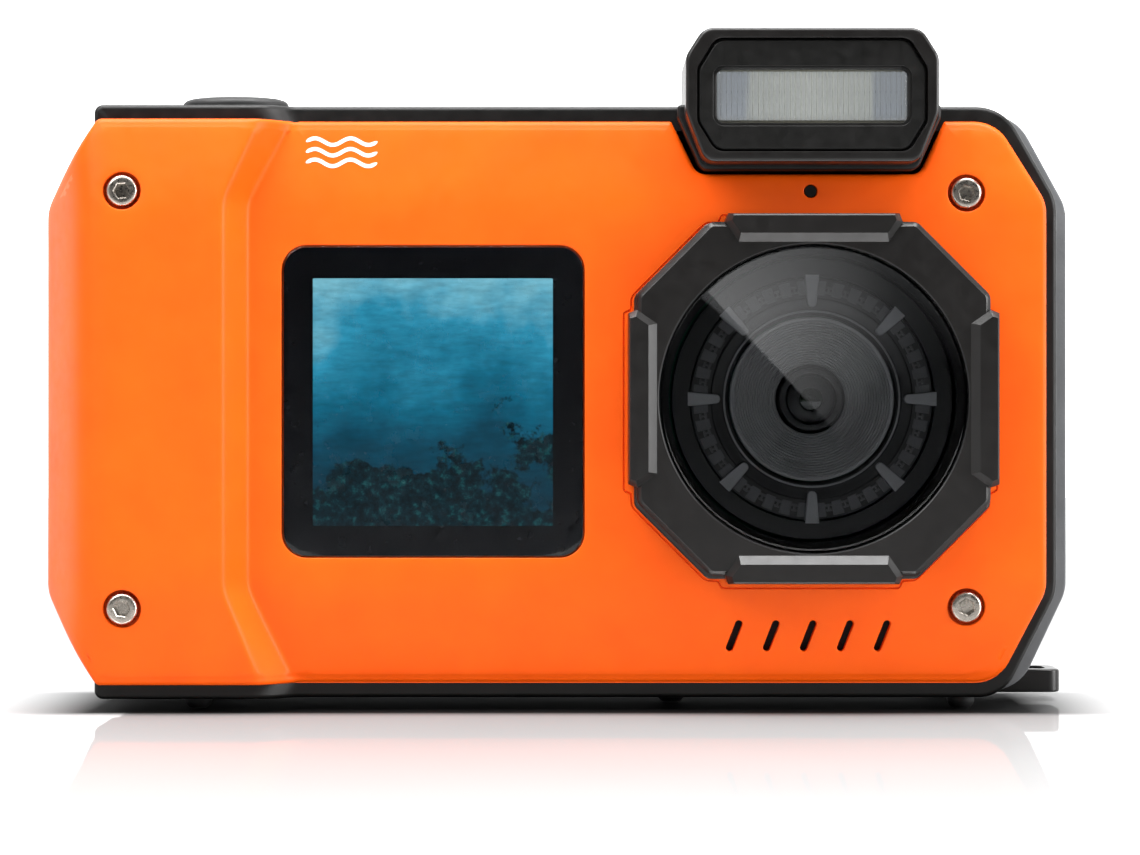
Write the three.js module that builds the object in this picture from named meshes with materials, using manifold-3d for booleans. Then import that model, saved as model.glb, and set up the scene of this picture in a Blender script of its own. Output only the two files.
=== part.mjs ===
// Waterproof action camera with a front selfie screen, an octagonal lens hood and a raised flash.
// Millimetres, +Z up. The lens looks along -Y, +X is to the right of someone facing the lens.
// The origin is on the surface under the feet, below the middle of the camera.
import * as THREE from "three";
import { mergeVertices } from "three/addons/utils/BufferGeometryUtils.js";
import Module from "manifold-3d";

const wasm = await Module();
wasm.setup();

// ---- driving dimensions ----
const GAP = 0.3; // clearance between a piece and what holds it
const FIT = 0.1; // clearance between two pieces that lie face to face
const KEY_GAP = 0.25; // clearance round a button or a screw's shank
const FAR = 30; // further out than any face of the camera along Y
const HIGH = 90; // higher than any face of the camera

// planes along Y, from the front to the back
const HOOD_FRONT = -20;
const GRIP_FACE = -18;
const PANEL_FACE = -14;
const GRIP_RIM = -14;
const PANEL_RIM = -11.5;
const FRAME_BACK = -1.8;
const REAR_RIM = -1.5;
const SEAL_BACK = -1;
const LIP_BACK = 0.7;
const REAR_FACE = 18.4;
const BUTTON_FACE = 20;

// heights
const BASE = 1.4;
const PANEL_BOTTOM = 3;
const BEND_LOW = 13.2;
const BEND_HIGH = 54.4;
const PANEL_TOP = 63.3;
const TOP = 64.7;

const PANEL_WALL = 1.8;
const FRAME_WALL = 2.6;
const FRAME_CLEAR = 2.2; // room inside the frame's wall for the buttons' flanges
const REAR_WALL = 2;
const LEFT = -55.4;
const GRIP_EDGE = -33.3; // where the raised grip's inner slope meets the panel
const GRIP_SLOPE = 2.4; // width of that slope
const FRAME_LEFT = -49.7;
const LENS_X = 26.6;
const LENS_Z = 33.35;

// outlines seen from the front, counter-clockwise, each corner [x, z, radius]
const PANEL_OUTLINE = [
  [-49.3, PANEL_BOTTOM, 0.8],
  [46.8, PANEL_BOTTOM, 4],
  [51.7, 12.9, 4],
  [51.7, 54.3, 4],
  [46.5, PANEL_TOP, 4],
  [-49.1, PANEL_TOP, 0.8],
  [LEFT, 53.8, 3.5],
  [LEFT, 12.6, 3.5],
];
const FRAME_OUTLINE = [
  [FRAME_LEFT, BASE, 0.6],
  [47.4, BASE, 4.5],
  [53.1, 12.6, 5],
  [53.1, 54.7, 5],
  [47.4, TOP, 5],
  [FRAME_LEFT, TOP, 0.6],
];
const REAR_OUTLINE = [
  [-50.2, BASE, 5],
  [50.2, BASE, 5],
  [55.4, 12.4, 5],
  [55.4, 54.5, 5],
  [49.8, TOP, 5],
  [-49.8, TOP, 5],
  [-55.2, 54.5, 5],
  [-55.2, 12.4, 5],
];

const SCREW_HEAD_R = 1.65;
const SCREW_SEAT_R = 2;
const SCREW_SHANK_R = 1.2;
const SCREW_END = 1.5;
const SCREW_SEAT_DEPTH = 2.2;
const BOSS_R = 3.1;
const BOSS_DEPTH = 3.7;
const SCREWS = [
  { x: -46.3, z: 55.3, face: GRIP_FACE },
  { x: -46.3, z: 11.2, face: GRIP_FACE },
  { x: 43.2, z: 55.3, face: PANEL_FACE },
  { x: 43.2, z: 11.2, face: PANEL_FACE },
];

// front screen
const SCREEN = { x: -13.6, z: 33.1, width: 32.1, height: 33.1, corner: 2.6, front: -13.95, back: -13.1 };
const SCREEN_BED = -12.8;
const SCREEN_OPENING = [27, 28, 1];
// rear screen
const MONITOR = { x: 13, z: 33, width: 68, height: 48, corner: 2.5, front: 17.4, back: 18.35 };
const MONITOR_BED = 17.3;
const MONITOR_OPENING = [60, 45, 1];

// lens stack, radii about the lens axis
const HOOD_HALF = 18.6;
const HOOD_CUT = 7.7;
const HOOD_BODY_FRONT = -19.2;
const HOOD_BORE_R = 16.25;
const HOOD_LEDGE_R = 15.2;
const HOOD_SPIGOT_R = 17;
const HOOD_LEDGE_Y = -16.5;
const WINDOW_R = 16.1;
const WINDOW_FRONT = -19;
const WINDOW_BACK = -17;
const RIB_COUNT = 8;
const TRIM_R = 14.9;
const TRIM_WALL_R = 12.9;
const TRIM_BACK = -14.2;
const CONE_R = 8.7;
const CONE_THROAT_R = 3.7;
const CONE_FRONT = -15.6;
const CONE_DEPTH = 3;
const CONE_STEPS = 5;
const BARREL_R = 3.4;
const BARREL_FRONT = -14.4;
const BARREL_BACK = -5.2;
const MIC_Z = 55.5;

// flash
const FLASH_X = 26.4;
const FLASH_Z = 65.25;
const FLASH_LENS_HALF = [10, 2.75];
const FLASH_BACK = -11.6;
const FLASH_RIB_PITCH = 1.1;

// battery door in the left wall
const DOOR = { low: 13.7, high: 53.3, front: 0.9, thick: 2.6 };
const HINGE = { x: -53.8, y: 13.6, barrel: 1.35, pin: 0.6 };
const DOOR_FACE = -55.2;
const LATCH_BED = { x: -54.2, y: [2, 6.2], z: [26.8, 40.2] };

const SPEAKER = { x: FLASH_X, z: 8.1 };
const SPEAKER_SLOTS = 5;
const SLOT_PITCH = 3.95;
const SLOT_LEAN = THREE.MathUtils.degToRad(20.6);

const COLOUR = {
  orange: 0xff6a14,
  black: 0x1b1b1c,
  grey: 0x5d5e60,
  hood: 0x2b2a28,
  rubber: 0x151515,
  glass: 0x20242a,
  steel: 0xa8a29a,
  board: 0x1f5a3a,
  brass: 0xb08a45,
  silver: 0xc9c6c0,
};

// ---- solids from three.js geometry ----
function toSolid(geometry) {
  const source = geometry.index ? geometry.toNonIndexed() : geometry;
  const bare = new THREE.BufferGeometry();
  bare.setAttribute("position", source.getAttribute("position"));
  const merged = mergeVertices(bare, 1e-4);
  const corners = merged.index.array;
  const triangles = [];
  for (let i = 0; i < corners.length; i += 3) {
    const [a, b, c] = [corners[i], corners[i + 1], corners[i + 2]];
    if (a !== b && b !== c && c !== a) triangles.push(a, b, c);
  }
  return new wasm.Manifold(
    new wasm.Mesh({
      numProp: 3,
      vertProperties: merged.attributes.position.array,
      triVerts: new Uint32Array(triangles),
    }),
  );
}

function toGeometry(solid) {
  const mesh = solid.getMesh();
  const indexed = new THREE.BufferGeometry();
  indexed.setAttribute("position", new THREE.BufferAttribute(mesh.vertProperties, 3));
  indexed.setIndex(new THREE.BufferAttribute(mesh.triVerts, 1));
  const geometry = indexed.toNonIndexed();
  geometry.computeVertexNormals();
  return geometry;
}

const join = (first, ...rest) => rest.reduce((whole, piece) => whole.add(piece), first);
const cut = (first, ...rest) => rest.reduce((whole, tool) => whole.subtract(tool), first);

// Rounds each corner [x, y, radius] of a closed outline with an arc.
function rounded(corners, steps = 4) {
  const points = [];
  corners.forEach(([x, y, radius = 0], i) => {
    const at = new THREE.Vector2(x, y);
    if (radius <= 0) {
      points.push(at);
      return;
    }
    const before = corners[(i + corners.length - 1) % corners.length];
    const after = corners[(i + 1) % corners.length];
    const back = new THREE.Vector2(before[0] - x, before[1] - y).normalize();
    const on = new THREE.Vector2(after[0] - x, after[1] - y).normalize();
    const half = Math.acos(THREE.MathUtils.clamp(back.dot(on), -1, 1)) / 2;
    const middle = back.clone().add(on).normalize();
    const centre = at.clone().addScaledVector(middle, radius / Math.sin(half));
    const start = at.clone().addScaledVector(back, radius / Math.tan(half)).sub(centre);
    const turn = Math.sign(back.cross(on)) * (half * 2 - Math.PI);
    for (let k = 0; k <= steps; k += 1) {
      const spoke = start.clone().rotateAround(new THREE.Vector2(), (turn * k) / steps);
      points.push(centre.clone().add(spoke));
    }
  });
  return points;
}

// Moves every side of a counter-clockwise outline outwards.
function grown(corners, distance) {
  return corners.map(([x, y, radius = 0], i) => {
    const before = corners[(i + corners.length - 1) % corners.length];
    const after = corners[(i + 1) % corners.length];
    const into = new THREE.Vector2(x - before[0], y - before[1]).normalize();
    const out = new THREE.Vector2(after[0] - x, after[1] - y).normalize();
    const sum = new THREE.Vector2(into.y + out.y, -into.x - out.x);
    const reach = distance / (1 + into.dot(out));
    return [x + sum.x * reach, y + sum.y * reach, radius > 0 ? Math.max(radius + distance, 0.2) : 0];
  });
}

function boxCorners(x, z, width, height, radius = 0) {
  return [
    [x - width / 2, z - height / 2, radius],
    [x + width / 2, z - height / 2, radius],
    [x + width / 2, z + height / 2, radius],
    [x - width / 2, z + height / 2, radius],
  ];
}

function octagon(x, z, halfWidth, halfHeight, cutWidth, cutHeight, radius = 0) {
  const [w, h, u, v] = [halfWidth, halfHeight, halfWidth - cutWidth, halfHeight - cutHeight];
  const signed = [[-u, -h], [u, -h], [w, -v], [w, v], [u, h], [-u, h], [-w, v], [-w, -v]];
  return signed.map(([dx, dz]) => [x + dx, z + dz, radius]);
}

function extrude(points, depth, options) {
  return new THREE.ExtrudeGeometry(new THREE.Shape(points), {
    depth,
    bevelEnabled: false,
    ...options,
  });
}

// A plate of an (x, z) outline between two Y planes.
function plateY(corners, front, back, steps) {
  const geometry = extrude(rounded(corners, steps), back - front);
  return toSolid(geometry.rotateX(Math.PI / 2).translate(0, back, 0));
}

// A plate whose front or back edge is chamfered by size over thick.
function chamferedY(corners, front, back, size, thick, atBack, steps = 3) {
  const depth = back - front;
  const options = {
    bevelEnabled: true,
    bevelSegments: 1,
    bevelSize: size,
    bevelOffset: -size,
    bevelThickness: thick,
  };
  const geometry = extrude(rounded(corners, steps), depth, options);
  const whole = toSolid(geometry.rotateX(Math.PI / 2).translate(0, atBack ? back - thick : back + thick, 0));
  return whole.intersect(block([-200, 200], [front, back], [-200, 200]));
}

// A bar of a (y, z) profile between two X planes.
function barX(points, left, right) {
  const outline = points.map(([y, z]) => new THREE.Vector2(y, z));
  const geometry = extrude(outline, right - left);
  const turn = new THREE.Matrix4().makeBasis(
    new THREE.Vector3(0, 1, 0),
    new THREE.Vector3(0, 0, 1),
    new THREE.Vector3(1, 0, 0),
  );
  return toSolid(geometry.applyMatrix4(turn).translate(left, 0, 0));
}

// A column of an (x, y) plan between two heights.
function columnZ(corners, low, high, steps) {
  return toSolid(extrude(rounded(corners, steps), high - low).translate(0, 0, low));
}

function block([x0, x1], [y0, y1], [z0, z1]) {
  const geometry = new THREE.BoxGeometry(x1 - x0, y1 - y0, z1 - z0);
  return toSolid(geometry.translate((x0 + x1) / 2, (y0 + y1) / 2, (z0 + z1) / 2));
}

function rodY(x, z, radius, front, back, sides = 24) {
  const geometry = new THREE.CylinderGeometry(radius, radius, back - front, sides);
  return toSolid(geometry.translate(x, (front + back) / 2, z));
}

function rodZ(x, y, radius, low, high, sides = 24) {
  const geometry = new THREE.CylinderGeometry(radius, radius, high - low, sides);
  return toSolid(geometry.rotateX(Math.PI / 2).translate(x, y, (low + high) / 2));
}

// A turned piece about the lens axis, from (radius, y) points that close or end on the axis.
function turnedY(profile, x, z, sides = 32) {
  const points = profile.map(([radius, y]) => new THREE.Vector2(radius, y));
  return toSolid(new THREE.LatheGeometry(points, sides).translate(x, 0, z));
}

function ringY(x, z, inner, outer, front, back, sides = 32) {
  const profile = [[inner, front], [outer, front], [outer, back], [inner, back], [inner, front]];
  return turnedY(profile, x, z, sides);
}

const group = new THREE.Group();

function addNode(name, solid, color, roughness = 0.5, metalness = 0) {
  const material = new THREE.MeshStandardMaterial({ color, roughness, metalness });
  const mesh = new THREE.Mesh(toGeometry(solid), material);
  mesh.name = name;
  group.add(mesh);
}

// ---- body ----
// The front shell's full form with every face moved in by inset.
function shellForm(inset, back) {
  const bottom = PANEL_BOTTOM - 1;
  const top = PANEL_TOP + 1;
  const side = (face) => [
    [back, bottom],
    [face + 2.3 + inset, bottom],
    [face + inset, BEND_LOW],
    [face + inset, BEND_HIGH],
    [face + 2 + inset, top],
    [back, top],
  ];
  const outline = plateY(grown(PANEL_OUTLINE, -inset), GRIP_FACE - 1, back);
  const panel = barX(side(PANEL_FACE), LEFT, 60);
  const gripPlan = [
    [LEFT + inset, back],
    [LEFT + inset, -8.5],
    [LEFT + 4.6 + inset, GRIP_FACE],
    [LEFT + 5, GRIP_FACE - 1],
    [-20, GRIP_FACE - 1],
    [-20, back],
  ];
  const gripOutline = [
    [-70, -20],
    [-17.4 - inset, -20],
    [GRIP_EDGE - inset, BEND_LOW],
    [GRIP_EDGE - inset, BEND_HIGH],
    [-19.8 - inset, 80],
    [-70, 80],
  ];
  const raised = chamferedY(gripOutline, GRIP_FACE, back, GRIP_SLOPE, PANEL_FACE - GRIP_FACE, false);
  const grip = barX(side(GRIP_FACE), LEFT, -20).intersect(raised);
  const leftSlope = columnZ(gripPlan, 0, 70).add(block([-30, 60], [-FAR, FAR], [-10, HIGH]));
  return join(panel, grip).intersect(outline).intersect(leftSlope);
}

// What the front shell leaves free behind its rim, for the frame.
function frameRoom(clear) {
  const plan = [
    [FRAME_LEFT - clear, 30],
    [FRAME_LEFT - clear, GRIP_RIM - clear],
    [-31.2, GRIP_RIM - clear],
    [-28.8, PANEL_RIM - clear],
    [60, PANEL_RIM - clear],
    [60, 30],
  ];
  return columnZ(plan, -10, HIGH);
}

function speakerSlots() {
  const slots = [];
  for (let i = 0; i < SPEAKER_SLOTS; i += 1) {
    const slot = extrude(rounded(boxCorners(0, 0, 0.8, 3.5, 0.38), 3), 6)
      .rotateZ(-SLOT_LEAN)
      .rotateX(Math.PI / 2)
      .translate(SPEAKER.x + (i - (SPEAKER_SLOTS - 1) / 2) * SLOT_PITCH, -9, SPEAKER.z);
    slots.push(toSolid(slot));
  }
  return slots;
}

function frontShell() {
  const hollow = shellForm(PANEL_WALL, 10);
  const clearOfFrame = plateY(grown(FRAME_OUTLINE, -FRAME_WALL - FRAME_CLEAR), -FAR, FAR);
  const besideFrame = frameRoom(FIT).subtract(clearOfFrame);
  const behindRim = block([FRAME_LEFT - FIT, 60], [PANEL_RIM - FIT, 0], [-10, HIGH]);
  const skin = cut(shellForm(0, -5), hollow, besideFrame, behindRim);
  const bosses = SCREWS.map(({ x, z, face }) => rodY(x, z, BOSS_R, face + 1, face + BOSS_DEPTH));
  const sockets = SCREWS.map(({ x, z, face }) => rodY(x, z, SCREW_SEAT_R, face - 1, face + SCREW_SEAT_DEPTH));
  const holes = SCREWS.map(({ x, z, face }) => rodY(x, z, SCREW_SHANK_R + KEY_GAP, face - 1, 0, 16));
  const flashRoom = plateY(flashBase(GAP), -FAR, 0);
  const lensHole = rodY(LENS_X, LENS_Z, HOOD_SPIGOT_R + GAP, -FAR, 0, 48);
  const { x, z, width, height, corner } = SCREEN;
  const screenBed = plateY(boxCorners(x, z, width + 2 * FIT, height + 2 * FIT, corner), -15, SCREEN_BED);
  const screenHole = plateY(boxCorners(x, z, ...SCREEN_OPENING), -15, 0);
  const soundHole = rodY(LENS_X, MIC_Z, 0.8, -16, -10, 16);
  return cut(
    join(skin, ...bosses),
    ...sockets, ...holes, ...speakerSlots(), flashRoom, lensHole, screenBed, screenHole, soundHole,
  );
}

// Lower part of the flash housing where it sits in the front shell.
function flashBase(clear) {
  return grown(
    [
      [FLASH_X - 11.7, 57.6, 1],
      [FLASH_X + 11.7, 57.6, 1],
      [FLASH_X + 14.1, 62.6, 1],
      [FLASH_X + 14.1, 75, 0],
      [FLASH_X - 14.1, 75, 0],
      [FLASH_X - 14.1, 62.6, 1],
    ],
    clear,
  );
}

function topHole({ half, depth, x, y }) {
  const hole = new THREE.CylinderGeometry(1, 1, 8, 28).rotateX(Math.PI / 2);
  return toSolid(hole.scale(half + KEY_GAP, depth + KEY_GAP, 1).translate(x, y, TOP));
}

const TOP_BUTTONS = [
  { name: "shutter_button", x: -35.2, y: -6.9, half: 5.7, depth: 4.2, rise: 1.3, stem: 55 },
  { name: "power_button", x: -19, y: -7, half: 2.8, depth: 2.8, rise: 0, stem: 57 },
  { name: "screen_button", x: -9, y: -7, half: 2.4, depth: 2.4, rise: 0, stem: 57 },
];

function midFrame() {
  const ring = plateY(FRAME_OUTLINE, GRIP_RIM - 1, FRAME_BACK).intersect(frameRoom(0));
  const room = plateY(grown(FRAME_OUTLINE, -FRAME_WALL), -FAR, FAR)
    .add(block([FRAME_LEFT + FRAME_WALL - 0.8, -20], [-FAR, FAR], [BASE + FRAME_WALL, TOP - FRAME_WALL]));
  const holes = TOP_BUTTONS.map(topHole);
  const leftFlange = cut(
    plateY(grown(REAR_OUTLINE, -0.2), -4.9, FRAME_BACK),
    plateY(grown(REAR_OUTLINE, -FRAME_WALL), -FAR, FAR),
  ).intersect(block([-60, FRAME_LEFT + 1.5], [-FAR, 0], [-10, HIGH]));
  return cut(ring, room, ...holes).add(leftFlange);
}

// A gasket along the middle of the frame's rear edge, or with clear the groove that holds it.
function sealRing(front, back, clear) {
  const outer = plateY(grown(FRAME_OUTLINE, clear - 0.6), front, back);
  return cut(outer, plateY(grown(FRAME_OUTLINE, -2.1 - clear), -FAR, FAR));
}

const REAR_BUTTONS = [
  { name: "zoom_tele_button", corners: boxCorners(-31.4, 50.4, 8.4, 5.6, 1.6) },
  { name: "zoom_wide_button", corners: boxCorners(-42, 50.4, 8.4, 5.6, 1.6) },
  { name: "ok_button", corners: boxCorners(-36.7, 31, 6.2, 6.2, 3) },
  { name: "up_button", corners: boxCorners(-36.7, 38.6, 8, 4.6, 1.4) },
  { name: "down_button", corners: boxCorners(-36.7, 23.4, 8, 4.6, 1.4) },
  { name: "left_button", corners: boxCorners(-44.3, 31, 4.6, 8, 1.4) },
  { name: "right_button", corners: boxCorners(-29.1, 31, 4.6, 8, 1.4) },
  { name: "menu_button", corners: boxCorners(-42, 12.8, 8.4, 5, 1.6) },
  { name: "playback_button", corners: boxCorners(-31.4, 12.8, 8.4, 5, 1.6) },
];

const TRIPOD = { x: 0, y: 7.3, bore: 3.2, wall: 5, top: 8.4 };
const LUG = { x0: 46.5, x1: 55.4, y0: 3, y1: 11, z0: 0.95, z1: 3.5 };

function rearShell() {
  const outer = chamferedY(REAR_OUTLINE, REAR_RIM, REAR_FACE, 3.2, 3.5, true);
  const room = chamferedY(grown(REAR_OUTLINE, -REAR_WALL), LIP_BACK, REAR_FACE - REAR_WALL, 2.4, 2.6, true);
  const mouth = plateY(grown(FRAME_OUTLINE, -FRAME_WALL), -20, LIP_BACK + 1);
  const groove = sealRing(-20, SEAL_BACK + FIT, 0.2);
  const bossBack = 2.4;
  const bosses = SCREWS.map(({ x, z }) => rodY(x, z, 2.9, REAR_RIM, bossBack, 20));
  const ribs = SCREWS.map(({ x, z }) =>
    block([x - 1.2, x + 1.2], [REAR_RIM, bossBack], z > 33 ? [z, TOP - 1] : [BASE + 1, z]),
  );
  const bores = SCREWS.map(({ x, z }) => rodY(x, z, SCREW_SHANK_R + KEY_GAP, -10, SCREW_END + 0.4, 16));
  const { x, z, width, height, corner } = MONITOR;
  const monitorBed = plateY(boxCorners(x, z, width + GAP, height + GAP, corner), MONITOR_BED, FAR);
  const monitorHole = plateY(boxCorners(x, z, ...MONITOR_OPENING), 10, FAR);
  const buttonHoles = REAR_BUTTONS.map(({ corners }) => plateY(grown(corners, KEY_GAP), 10, FAR, 2));
  const doorway = block([-60, -50], [DOOR.front - GAP, HINGE.y + 1.6], [DOOR.low - GAP, DOOR.high + GAP]);
  const pinHole = rodZ(HINGE.x, HINGE.y, HINGE.pin + 0.15, DOOR.low - 1.8, DOOR.high + 1.8, 16);
  const bushHole = rodZ(TRIPOD.x, TRIPOD.y, TRIPOD.wall + 0.2, 0, 10, 24);
  const lugSlot = block([LUG.x0 - GAP, 60], [LUG.y0 - GAP, LUG.y1 + GAP], [0, LUG.z1 + GAP]);
  return cut(
    join(cut(outer, room, mouth), ...bosses, ...ribs),
    groove, ...bores, monitorBed, monitorHole, ...buttonHoles, doorway, pinHole, bushHole, lugSlot,
  );
}

function cornerScrew({ x, z, face }) {
  const head = rodY(x, z, SCREW_HEAD_R, face + 0.1, face + 2, 24);
  const socket = rodY(x, z, 0.98, face - 1, face + 1.2, 6);
  const shank = rodY(x, z, SCREW_SHANK_R, face + 1.9, SCREW_END, 16);
  return join(cut(head, socket), shank);
}

// ---- lens ----
function hoodOutline(extra) {
  return octagon(LENS_X, LENS_Z, HOOD_HALF + extra, HOOD_HALF + extra, HOOD_CUT, HOOD_CUT, 1);
}

// One of the four raised blocks on the hood, for the top side.
function hoodBlock() {
  const outline = [
    [LENS_X - 7.9, LENS_Z + 16.5],
    [LENS_X + 7.9, LENS_Z + 16.5],
    [LENS_X + 9, LENS_Z + 19.5],
    [LENS_X - 9, LENS_Z + 19.5],
  ];
  return chamferedY(outline, HOOD_FRONT, PANEL_FACE - 0.4, 0.5, 0.5, false);
}

function quarterTurned(solid, quarter) {
  const moved = solid.translate(-LENS_X, 0, -LENS_Z).rotate(0, quarter * 90, 0);
  return moved.translate(LENS_X, 0, LENS_Z);
}

function lensHood() {
  const flange = plateY(hoodOutline(0.7), -17, PANEL_FACE - FIT);
  const body = chamferedY(hoodOutline(0), HOOD_BODY_FRONT, -16.8, 0.7, 0.7, false);
  const spigot = rodY(LENS_X, LENS_Z, HOOD_SPIGOT_R, -16.8, -10.5, 48);
  const blocks = [0, 1, 2, 3].map((quarter) => quarterTurned(hoodBlock(), quarter));
  const bore = rodY(LENS_X, LENS_Z, HOOD_BORE_R, -FAR, HOOD_LEDGE_Y, 48);
  const throat = rodY(LENS_X, LENS_Z, HOOD_LEDGE_R, -FAR, 0, 40);
  return cut(join(flange, body, spigot, ...blocks), bore, throat);
}

function lensTrimRing() {
  const plate = ringY(LENS_X, LENS_Z, CONE_R + 0.15, TRIM_R, TRIM_BACK - 1, TRIM_BACK, 32);
  const wall = ringY(LENS_X, LENS_Z, TRIM_WALL_R, TRIM_R, TRIM_BACK - 2, TRIM_BACK - 0.7, 32);
  const ribs = [];
  for (let i = 0; i < RIB_COUNT; i += 1) {
    const outline = [[-0.45, 9.8, 0.3], [0.45, 9.8, 0.3], [0.72, 13.2, 0], [-0.72, 13.2, 0]];
    const rib = extrude(rounded(outline, 3), 1.4)
      .rotateX(Math.PI / 2)
      .translate(0, -14.8, 0)
      .rotateY((i * 2 * Math.PI) / RIB_COUNT)
      .translate(LENS_X, 0, LENS_Z);
    ribs.push(toSolid(rib));
  }
  return join(plate, wall, ...ribs);
}

function lensCone() {
  const step = (CONE_R - 0.5 - CONE_THROAT_R) / CONE_STEPS;
  const back = CONE_FRONT + CONE_DEPTH;
  const inside = [];
  for (let i = 0; i < CONE_STEPS; i += 1) {
    const radius = CONE_R - 0.5 - step * i;
    const y = CONE_FRONT + (CONE_DEPTH * i) / CONE_STEPS;
    inside.push([radius, y], [radius - step, y]);
  }
  const profile = [
    [CONE_R, CONE_FRONT],
    [CONE_R, back],
    [CONE_THROAT_R, back],
    ...inside.reverse(),
    [CONE_R, CONE_FRONT],
  ];
  return turnedY(profile, LENS_X, LENS_Z, 32);
}

function lensBarrel() {
  const [mouth, bore] = [2.75, 2.6];
  const profile = [
    [mouth, BARREL_FRONT],
    [BARREL_R, BARREL_FRONT],
    [BARREL_R, BARREL_BACK],
    [bore, BARREL_BACK],
    [mouth, BARREL_FRONT],
  ];
  return turnedY(profile, LENS_X, LENS_Z, 32);
}

function frontElement() {
  const profile = [[0, -14.3], [0.9, -14.15], [1.8, -13.7], [2.5, -13], [2.5, -11.4], [0, -11.4]];
  return turnedY(profile, LENS_X, LENS_Z, 24);
}

function lensHolder() {
  const outer = plateY(boxCorners(LENS_X, LENS_Z, 13, 13, 1), -9, -3);
  return cut(outer, rodY(LENS_X, LENS_Z, BARREL_R + 0.15, -20, 0, 32));
}

// ---- flash ----
function flashHousing() {
  const corners = [
    [FLASH_X - 11.3, 58.2, 0.8],
    [FLASH_X + 11.3, 58.2, 0.8],
    [FLASH_X + 13.3, 63.4, 0.8],
    [FLASH_X + 13.3, 69.3, 0.8],
    [FLASH_X + 11.4, 72.3, 0.8],
    [FLASH_X - 11.4, 72.3, 0.8],
    [FLASH_X - 13.3, 69.3, 0.8],
    [FLASH_X - 13.3, 63.4, 0.8],
  ];
  const rim = chamferedY(corners, HOOD_FRONT, FLASH_BACK, 0.6, 0.6, false);
  const hump = plateY(corners, -12, 0).intersect(
    barX([[-13, TOP + FIT], [-2.4, TOP + FIT], [-6, 71.2], [-13, 73]], 0, 60),
  );
  const belowTop = block([0, 60], [-FAR, 0], [50, TOP]);
  const foot = plateY(flashBase(0), PANEL_FACE - 0.8, FLASH_BACK).intersect(belowTop);
  const bezelBed = plateY(octagon(FLASH_X, FLASH_Z, 12.2, 6, 1.7, 2.6, 0.5), -FAR, -18.3);
  const room = plateY(octagon(FLASH_X, FLASH_Z, 11.2, 5, 1.5, 2.2, 0.5), -19, -12.6);
  return cut(join(rim, hump, foot), bezelBed, room);
}

function flashBezel() {
  const plate = chamferedY(octagon(FLASH_X, FLASH_Z, 12, 5.8, 1.7, 2.6, 0.5), -19.7, -18.4, 0.3, 0.3, false);
  const [w, h] = FLASH_LENS_HALF;
  return cut(plate, plateY(boxCorners(FLASH_X, FLASH_Z, w * 2 + GAP, h * 2 + GAP, 0.8), -FAR, 0));
}

function flashLens() {
  const [w, h] = FLASH_LENS_HALF;
  const plate = plateY(boxCorners(FLASH_X, FLASH_Z, w * 2, h * 2, 0.7), -19.4, -17.7, 3);
  const grooves = [];
  for (let i = -8; i <= 8; i += 1) {
    const x = FLASH_X + i * FLASH_RIB_PITCH;
    grooves.push(block([x - 0.2, x + 0.2], [-18, -17], [60, 70]));
  }
  return cut(plate, ...grooves);
}

function flashReflector() {
  const outer = block([FLASH_X - 10.4, FLASH_X + 10.4], [-17.5, -13], [FLASH_Z - 3.2, FLASH_Z + 3.2]);
  const bowl = [];
  for (let i = 0; i <= 8; i += 1) {
    const across = -2.9 + (5.8 * i) / 8;
    bowl.push([-13.6 - (across * across) / 2.4, FLASH_Z + across]);
  }
  const trough = barX([[-18, FLASH_Z - 2.9], ...bowl, [-18, FLASH_Z + 2.9]], FLASH_X - 10, FLASH_X + 10);
  return cut(outer, trough);
}

function flashTube() {
  const tube = new THREE.CylinderGeometry(0.8, 0.8, 19, 16).rotateZ(Math.PI / 2);
  return toSolid(tube.translate(FLASH_X, -15.4, FLASH_Z));
}

// ---- screens ----
function screenWindow({ x, z, width, height, corner, front, back }) {
  return plateY(boxCorners(x, z, width, height, corner), front, back, 6);
}

function displayPanel({ x, z }, width, height, front, back) {
  return plateY(boxCorners(x, z, width, height, 0.5), front, back);
}

function frontDisplaySeal() {
  const { x, z, width, height, corner } = SCREEN;
  const outer = plateY(boxCorners(x, z, width - 0.6, height - 0.6, corner - 0.3), -13.05, -12.85);
  return cut(outer, plateY(boxCorners(x, z, 27.4, 28.4, 1), -20, 0));
}

// ---- buttons ----
function topButton({ x, y, half, depth, rise, stem }) {
  const profile = [
    [0, TOP + rise],
    [0.55, TOP + rise - 0.03],
    [0.85, TOP + rise - 0.2],
    [1, TOP + rise - 0.7],
    [1, TOP - FRAME_WALL - 0.1],
    [1.14, TOP - FRAME_WALL - 0.1],
    [1.14, TOP - FRAME_WALL - 0.9],
    [0.4, TOP - FRAME_WALL - 0.9],
    [0.4, stem],
    [0, stem],
  ];
  const points = profile.map(([radius, z]) => new THREE.Vector2(radius, z)).reverse();
  const turned = new THREE.LatheGeometry(points, 20).rotateX(Math.PI / 2);
  return toSolid(turned.scale(half, depth, 1).translate(x, y, 0));
}

function rearButton({ corners }) {
  const cap = chamferedY(corners, 16, BUTTON_FACE, 0.5, 0.5, true, 2);
  const flange = plateY(grown(corners, 0.6), 15.4, 16.2, 2);
  return join(cap, flange);
}

// ---- battery bay ----
function batteryDoor() {
  const leaf = block([DOOR_FACE, DOOR_FACE + DOOR.thick], [DOOR.front, 12.3], [DOOR.low, DOOR.high]);
  const bridge = block([DOOR_FACE + 0.3, -54], [12, HINGE.y], [DOOR.low, DOOR.high]);
  const barrel = rodZ(HINGE.x, HINGE.y, HINGE.barrel, DOOR.low, DOOR.high, 24);
  const bore = rodZ(HINGE.x, HINGE.y, HINGE.pin + 0.2, 0, 80, 16);
  const latchBed = block([-60, LATCH_BED.x], LATCH_BED.y, LATCH_BED.z);
  return cut(join(leaf, bridge, barrel), bore, latchBed);
}

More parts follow.
